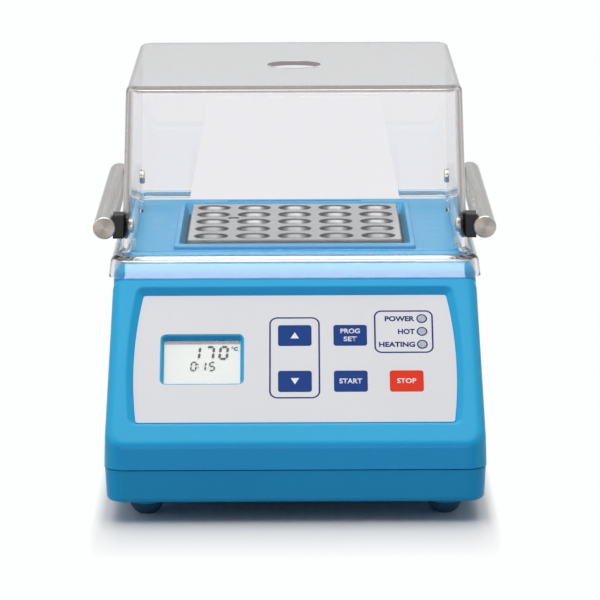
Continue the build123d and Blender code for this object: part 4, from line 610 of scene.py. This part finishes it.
FINISHES = {
    "case": case_plastic("case_blue_moulded", CASE_BLUE, CASE_BLUE_SHADED_WALL),
    "case_low": case_plastic("case_blue_lower", CASE_BLUE_LOW, CASE_BLUE_LOW),
    "rubber": rubber("foot_rubber", RUBBER_NAVY),
    "seal": rubber("seal_rubber", GASKET_BLACK),
    "film": printed_film("panel_film"),
    "key_blue": key_cap("key_blue", KEY_BLUE),
    "key_red": key_cap("key_red", KEY_RED),
    "ink_blue": ink("print_blue", INK_BLUE),
    "ink_white": ink("print_white", INK_WHITE),
    "lcd": lcd_glass("display_cell"),
    "lcd_dark": ink("display_segments", LCD_DARK),
    "lens": lamp_lens("indicator_lens"),
    "pane": clear_acrylic("window_clear", PANE_CLEAR),
    "cover": clear_acrylic("cover_clear", COVER_CLEAR, 0.01, "cover_shell"),
    "bar_left": turned_steel("bar_steel_left", "handle_left"),
    "bar_right": turned_steel("bar_steel_right", "handle_right"),
    "screw": plain_metal("screw_steel", STEEL, 0.25),
    "sheet": plain_metal("sheet_steel", SHEET_STEEL, 0.35),
    "block": machined_block("heating_block"),
    "black": moulded_plastic("black_plastic", BLACK_PLASTIC, 0.42, 900.0, 0.03 * MM, 0.1),
    "plate": powder_coat("rear_plate_coat"),
    "board": circuit_board("circuit_board"),
    "fibre": fibre_board("insulation_fibre"),
    "heater": ink("heater_film", HEATER_AMBER),
    "core": laminated_steel("core_plates"),
    "tape": wound_tape("coil_tape"),
    "sink": plain_metal("sink_anodised", ANODISED, 0.45),
    "terminal": moulded_plastic("terminal_green", TERMINAL_GREEN, 0.45),
    "brass": plain_metal("contact_brass", BRASS, 0.22),
    "glass": clear_acrylic("fuse_glass", FUSE_CLEAR),
}

NODE_FINISH = {
    "case": ["top_shell"],
    "case_low": ["bottom_shell"],
    "rubber": ["feet"],
    "seal": ["block_gasket"],
    "film": ["panel_overlay"],
    "key_blue": ["key_up", "key_down", "key_set", "key_start"],
    "key_red": ["key_stop"],
    "lcd": ["display_module"],
    "lens": ["indicator_lenses", "indicator_lamps"],
    "pane": ["display_window"],
    "cover": ["cover_shell"],
    "bar_left": ["handle_left"],
    "bar_right": ["handle_right"],
    "screw": ["handle_screws", "case_screws", "foot_screws", "board_screws", "tray_screws",
              "rear_panel_screws", "inlet_screws", "power_board_screws", "block_bolts"],
    "sheet": ["clamp_plate", "block_tray", "heat_shield", "thermal_cutout", "block_sensor",
              "block_spacers"],
    "block": ["heating_block", "block_base"],
    "black": ["handle_saddles", "power_inlet", "fuse_holder", "fuse_drawer", "switch_housing",
              "switch_rocker", "relay", "capacitors", "triac", "key_switches"],
    "plate": ["rear_panel"],
    "board": ["display_board", "power_board"],
    "fibre": ["insulation_base", "insulation_frame"],
    "heater": ["heater_plate"],
    "core": ["transformer_core"],
    "tape": ["transformer_coil"],
    "sink": ["heat_sink"],
    "terminal": ["terminal_block"],
    "brass": ["inlet_pins"],
    "glass": ["fuses"],
}


def dress(piece, finish):
    """Give a piece one material."""
    piece.data.materials.clear()
    piece.data.materials.append(FINISHES[finish].material)
    return piece


for finish_name, node_names in NODE_FINISH.items():
    for node_name in node_names:
        dress(NODES[node_name], finish_name)


# ---------------------------------------------------------------- modelling


def deselect():
    """Nothing selected, in object mode."""
    if bpy.context.mode != "OBJECT":
        bpy.ops.object.mode_set(mode="OBJECT")
    bpy.ops.object.select_all(action="DESELECT")


def active():
    return bpy.context.view_layer.objects.active


def editing(kind="VERT"):
    """Edit mode with everything selected."""
    bpy.ops.object.mode_set(mode="EDIT")
    bpy.ops.mesh.select_mode(type=kind)
    bpy.ops.mesh.select_all(action="SELECT")


def flat_plate(width, height, corner, segments=8):
    """A flat plate in the drawing plane with round corners."""
    deselect()
    bpy.ops.mesh.primitive_plane_add(size=1)
    plate = active()
    editing()
    bpy.ops.transform.resize(value=(width, height, 1))
    bpy.ops.mesh.bevel(offset=corner, affect="VERTICES", segments=segments)
    bpy.ops.object.mode_set(mode="OBJECT")
    return plate


def flat_disc(radius, points=40):
    """A flat round plate in the drawing plane, or a shape of a few equal sides."""
    deselect()
    bpy.ops.mesh.primitive_circle_add(vertices=points, radius=radius, fill_type="NGON")
    return active()


def hollow(piece, line):
    """Leave only a line of that width inside the outline of a flat piece."""
    bpy.context.view_layer.objects.active = piece
    editing("FACE")
    bpy.ops.mesh.inset(thickness=line)
    bpy.ops.mesh.delete(type="FACE")
    bpy.ops.object.mode_set(mode="OBJECT")
    return piece


def thicken(piece, height=INK_THICKNESS):
    """Give a flat piece a thickness, faces outward."""
    bpy.context.view_layer.objects.active = piece
    editing("FACE")
    bpy.ops.mesh.extrude_region_move(TRANSFORM_OT_translate={"value": (0, 0, height)})
    bpy.ops.mesh.select_all(action="SELECT")
    bpy.ops.mesh.normals_make_consistent(inside=False)
    bpy.ops.object.mode_set(mode="OBJECT")
    return piece


def join(pieces, name):
    """Several objects as one."""
    deselect()
    for piece in pieces:
        piece.select_set(True)
    bpy.context.view_layer.objects.active = pieces[0]
    if len(pieces) > 1:
        bpy.ops.object.join()
    whole = active()
    whole.name = name
    whole.data.name = name
    return whole


def settle(piece, matrix=None):
    """Put the object's place, turn and size into its mesh."""
    bpy.context.view_layer.update()
    piece.data.transform(matrix @ piece.matrix_world if matrix else piece.matrix_world)
    piece.matrix_world = Matrix.Identity(4)
    return piece


def shift(piece, x, up, lift=0.0):
    """Move a drawing's mesh within the drawing plane."""
    piece.data.transform(Matrix.Translation((x, up, lift)))
    return piece


def lettering(words, width, height, middle, weight, from_right=False):
    """Words as thin raised print of an exact size, on a middle or up to a right-hand end."""
    deselect()
    bpy.ops.object.text_add()
    text = active()
    text.data.body = words
    text.data.offset = weight
    text.data.resolution_u = 4
    bpy.ops.object.convert(target="MESH")
    drawn = active()
    points = [vertex.co for vertex in drawn.data.vertices]
    low = Vector((min(p.x for p in points), min(p.y for p in points), 0))
    high = Vector((max(p.x for p in points), max(p.y for p in points), 0))
    size = high - low
    scale = Matrix.Diagonal((width / size.x, height / size.y, 1, 1))
    drawn.data.transform(scale @ Matrix.Translation(-low))
    start = -width if from_right else -width / 2
    shift(drawn, middle[0] + start, middle[1] - height / 2)
    return thicken(drawn)


def printed(pieces, name, finish, body, depth=0.0):
    """Drawings set on the film's face as one piece."""
    whole = dress(settle(join(pieces, name), on_slope(depth)), finish)
    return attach(whole, body)


def outline(frame_mm):
    """A printed rounded frame between its line's middles."""
    left, right, low, high, corner = (size * MM for size in frame_mm)
    width = right - left + FRAME_LINE
    height = high - low + FRAME_LINE
    plate = flat_plate(width, height, corner + FRAME_LINE / 2, 10)
    return thicken(shift(hollow(plate, FRAME_LINE), (left + right) / 2, (low + high) / 2))


def arrow(middle, upward):
    """A solid triangle that points up or down the slope."""
    mark = flat_disc(1.0, 3)
    points = [vertex.co for vertex in mark.data.vertices]
    low = min(p.y for p in points)
    tall = max(p.y for p in points) - low
    wide = max(p.x for p in points) - min(p.x for p in points)
    side = 1 if upward else -1
    mark.data.transform(Matrix.Diagonal((ARROW_WIDTH / wide, side * ARROW_HEIGHT / tall, 1, 1)))
    points = [vertex.co.y for vertex in mark.data.vertices]
    return thicken(shift(mark, middle[0], middle[1] - (min(points) + max(points)) / 2))


# ---------------------------------------------------------------- print on the film


def lamp_places():
    """Middles of the three lamps, from the top down."""
    return [(LAMP_X, LAMP_TOP - row * LAMP_PITCH) for row in range(3)]


def panel_print():
    """Frames, lamp rings and lamp names."""
    pieces = [outline(KEY_FRAME), outline(LAMP_FRAME)]
    for x, up in lamp_places():
        ring = hollow(flat_disc(RING_R), RING_LINE)
        pieces.append(thicken(shift(ring, x, up)))
    for (word, width), (x, up) in zip(LAMP_NAMES.items(), lamp_places()):
        place = (NAME_END, up)
        pieces.append(lettering(word, width * MM, NAME_HEIGHT, place, NAME_WEIGHT, True))
    printed(pieces, "panel_print", "ink_blue", "case")


def key_middle(column, row):
    """Middle of a key on the panel's grid, from the lower left key."""
    return KEY_FIRST[0] + column * KEY_GRID, KEY_FIRST[1] + row * KEY_GRID


def key_word(word, width, height, column, row, raised=0.0):
    """A word on a key, its sizes in millimetres, raised from the key's middle."""
    x, up = key_middle(column, row)
    return lettering(word, width * MM, height * MM, (x, up + raised * MM), LEGEND_WEIGHT)


def key_print():
    """Legends on the key caps, each moving with its key."""
    legends = {
        "up": [arrow(key_middle(0, 1), True)],
        "down": [arrow(key_middle(0, 0), False)],
        "set": [key_word("PROG", 9.2, 2.8, 1, 1, 2.35), key_word("SET", 6.2, 2.8, 1, 1, -2.15)],
        "start": [key_word("START", 10.6, 2.9, 1, 0)],
        "stop": [key_word("STOP", 8.9, 2.9, 2, 0)],
    }
    for name, pieces in legends.items():
        legend = f"{name}_key_legend"
        printed(pieces, legend, "ink_white", f"{name}_key", -LEGEND_PROUD)


# ---------------------------------------------------------------- display


SEGMENTS = {"0": "abcdef", "1": "bc", "5": "acdfg", "7": "abc"}


def lcd_digit(character, x, up, width, height, stroke):
    """A digit of up to seven pointed bars, leaning to the right."""
    half_x = width / 2
    half_y = height / 2
    gap = stroke * 0.55
    across = width - 2 * gap
    upright = half_y - 2 * gap
    places = {
        "a": (0, half_y, across, 0), "g": (0, 0, across, 0), "d": (0, -half_y, across, 0),
        "b": (half_x, half_y / 2, upright, 1), "c": (half_x, -half_y / 2, upright, 1),
        "f": (-half_x, half_y / 2, upright, 1), "e": (-half_x, -half_y / 2, upright, 1),
    }
    bars = []
    for segment in SEGMENTS[character]:
        bar_x, bar_y, length, is_upright = places[segment]
        bar = flat_plate(length + stroke * 0.6, stroke, stroke * 0.46, 1)
        if is_upright:
            bar.data.transform(Matrix.Rotation(math.pi / 2, 4, "Z"))
        bars.append(shift(bar, bar_x, bar_y))
    digit = join(bars, "digit")
    lean = Matrix.Identity(4)
    lean[0][1] = FIGURES_LEAN
    digit.data.transform(lean)
    return thicken(shift(digit, x, up))


def display_figures():
    """Temperature, its unit and the time left, as dark segments."""
    pieces = []
    for figures, size in ((WARMTH, WARMTH_SIZE), (MINUTES, MINUTES_SIZE)):
        for character, x in figures:
            pieces.append(lcd_digit(character, x * MM, **size))
    for up in COLON_UP:
        pieces.append(thicken(shift(flat_disc(0.3 * MM, 12), COLON_X, up)))
    pieces.append(lettering("C", 1.9 * MM, 2.1 * MM, (-27.7 * MM, 56.9 * MM), 0.05))
    degree = hollow(flat_disc(0.5 * MM, 20), 0.25 * MM)
    pieces.append(thicken(shift(degree, -29.3 * MM, 57.6 * MM)))
    printed(pieces, "display_figures", "lcd_dark", "case", FIGURES_DEPTH)


# ---------------------------------------------------------------- floor, light, camera


def footprint_distance(finish):
    """Distance on the floor from the object's footprint, counted longer to the sides."""
    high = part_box("top_shell")[1]
    across = finish.apart(finish.coordinates)
    square = []
    for axis, reach, weight in (("X", high.x, FLOOR_SIDEWAYS), ("Y", high.y, 1.0)):
        beyond = finish.maths("SUBTRACT", finish.maths("ABSOLUTE", across[axis]), reach)
        beyond = finish.product(finish.maths("MAXIMUM", beyond, 0.0), weight)
        square.append(finish.product(beyond, beyond))
    return finish.maths("SQRT", finish.maths("ADD", *square))


def floor_material():
    """White bench: lit and shadowed near the object, plain white further off."""
    finish = Finish("studio_floor").put(Roughness=0.3, Specular_IOR_Level=0.5)
    path = finish.add("ShaderNodeLightPath").outputs
    near = varied(finish, FLOOR_WHITE, 0.004, 3.0)
    dim = paint(FLOOR_WHITE, FLOOR_BOUNCE)
    finish.colour(finish.shade(path["Is Diffuse Ray"], near, dim))
    seen = finish.maths("MAXIMUM", path["Is Camera Ray"], path["Is Glossy Ray"])
    seen = finish.maths("MAXIMUM", seen, path["Is Transmission Ray"])
    far = finish.rise(footprint_distance(finish), *FLOOR_LIT)
    white = finish.add("ShaderNodeEmission")
    shown = finish.shade(path["Is Transmission Ray"], paint(STUDIO_WHITE), paint(SEEN_THROUGH))
    finish.link(shown, white.inputs["Color"])
    mix = finish.add("ShaderNodeMixShader")
    finish.link(finish.product(far, seen), mix.inputs[0])
    finish.link(finish.shader.outputs[0], mix.inputs[1])
    finish.link(white.outputs[0], mix.inputs[2])
    finish.link(mix.outputs[0], finish.output.inputs["Surface"])
    return finish.material


def floor():
    """A plain floor under and round the object."""
    deselect()
    bpy.ops.mesh.primitive_plane_add(size=16)
    plane = active()
    plane.name = "studio_floor"
    plane.data.materials.append(floor_material())


def mirrored_room(tree):
    """Brightness of the room in mirrors, from low down to overhead."""
    place = tree.nodes.new("ShaderNodeTexCoord")
    height = tree.nodes.new("ShaderNodeSeparateXYZ")
    tree.links.new(place.outputs["Generated"], height.inputs[0])
    overhead = tree.nodes.new("ShaderNodeMapRange")
    overhead.inputs["From Min"].default_value = -0.1
    overhead.inputs["From Max"].default_value = 0.7
    overhead.inputs["To Min"].default_value = ROOM_LOW
    overhead.inputs["To Max"].default_value = ROOM_OVERHEAD
    tree.links.new(height.outputs["Z"], overhead.inputs["Value"])
    return overhead.outputs["Result"]


def for_ray(tree, is_ray, shown, otherwise):
    """One brightness for a kind of ray and another for the rest."""
    mix = tree.nodes.new("ShaderNodeMix")
    tree.links.new(is_ray, mix.inputs[0])
    for place, value in ((2, otherwise), (3, shown)):
        if isinstance(value, float):
            mix.inputs[place].default_value = value
        else:
            tree.links.new(value, mix.inputs[place])
    return mix.outputs[0]


def world():
    """White room: dim as light, brighter overhead in reflections, plain white when seen."""
    room = bpy.data.worlds.new("studio_room")
    bpy.context.scene.world = room
    room.use_nodes = True
    tree = room.node_tree
    back = tree.nodes["Background"]
    back.inputs["Color"].default_value = paint(STUDIO_WHITE)
    path = tree.nodes.new("ShaderNodeLightPath").outputs
    level = for_ray(tree, path["Is Glossy Ray"], mirrored_room(tree), ROOM_LIGHT)
    level = for_ray(tree, path["Is Transmission Ray"], ROOM_THROUGH, level)
    level = for_ray(tree, path["Is Camera Ray"], ROOM_SEEN, level)
    tree.links.new(level, back.inputs["Strength"])


def softbox(name, place, size, power, reflected_only=False):
    """A rectangular area lamp that faces the object's middle."""
    deselect()
    bpy.ops.object.light_add(type="AREA", location=place)
    lamp = active()
    lamp.name = name
    lamp.data.shape = "RECTANGLE"
    lamp.data.size, lamp.data.size_y = size
    lamp.data.energy = power
    direction = Vector((0, 0, 0.1)) - Vector(place)
    lamp.rotation_euler = direction.to_track_quat("-Z", "Y").to_euler()
    lamp.visible_diffuse = not reflected_only


def lights():
    """Soft light from above and both sides, and a strip that only shows in gloss."""
    softbox("top_softbox", (-0.1, -0.15, 1.7), (1.8, 1.8), 23)
    softbox("left_softbox", (-1.6, -0.5, 0.9), (1.0, 1.2), 5)
    softbox("right_softbox", (1.6, -0.4, 0.9), (0.8, 1.2), 1.4)
    softbox("front_strip", (0, -3.2, 0.29), (2.4, 0.42), 17, reflected_only=True)


def camera():
    """The lens at the place and turn that the photograph was taken from."""
    deselect()
    bpy.ops.object.camera_add()
    lens = active()
    lens.name = "studio_camera"
    lens.data.lens = CAMERA_LENS
    lens.data.sensor_width = 36.0
    lens.data.clip_start = 0.05
    lens.data.clip_end = 60.0
    turn = Matrix.Rotation(-CAMERA_YAW, 4, "Z")
    turn = turn @ Matrix.Rotation(math.pi / 2 - CAMERA_PITCH, 4, "X")
    turn = turn @ Matrix.Rotation(CAMERA_ROLL, 4, "Z")
    lens.matrix_world = Matrix.Translation(CAMERA_PLACE) @ turn
    bpy.context.scene.camera = lens


panel_print()
key_print()
display_figures()
floor()
world()
lights()
camera()

scene = bpy.context.scene
scene.view_settings.view_transform = "Standard"
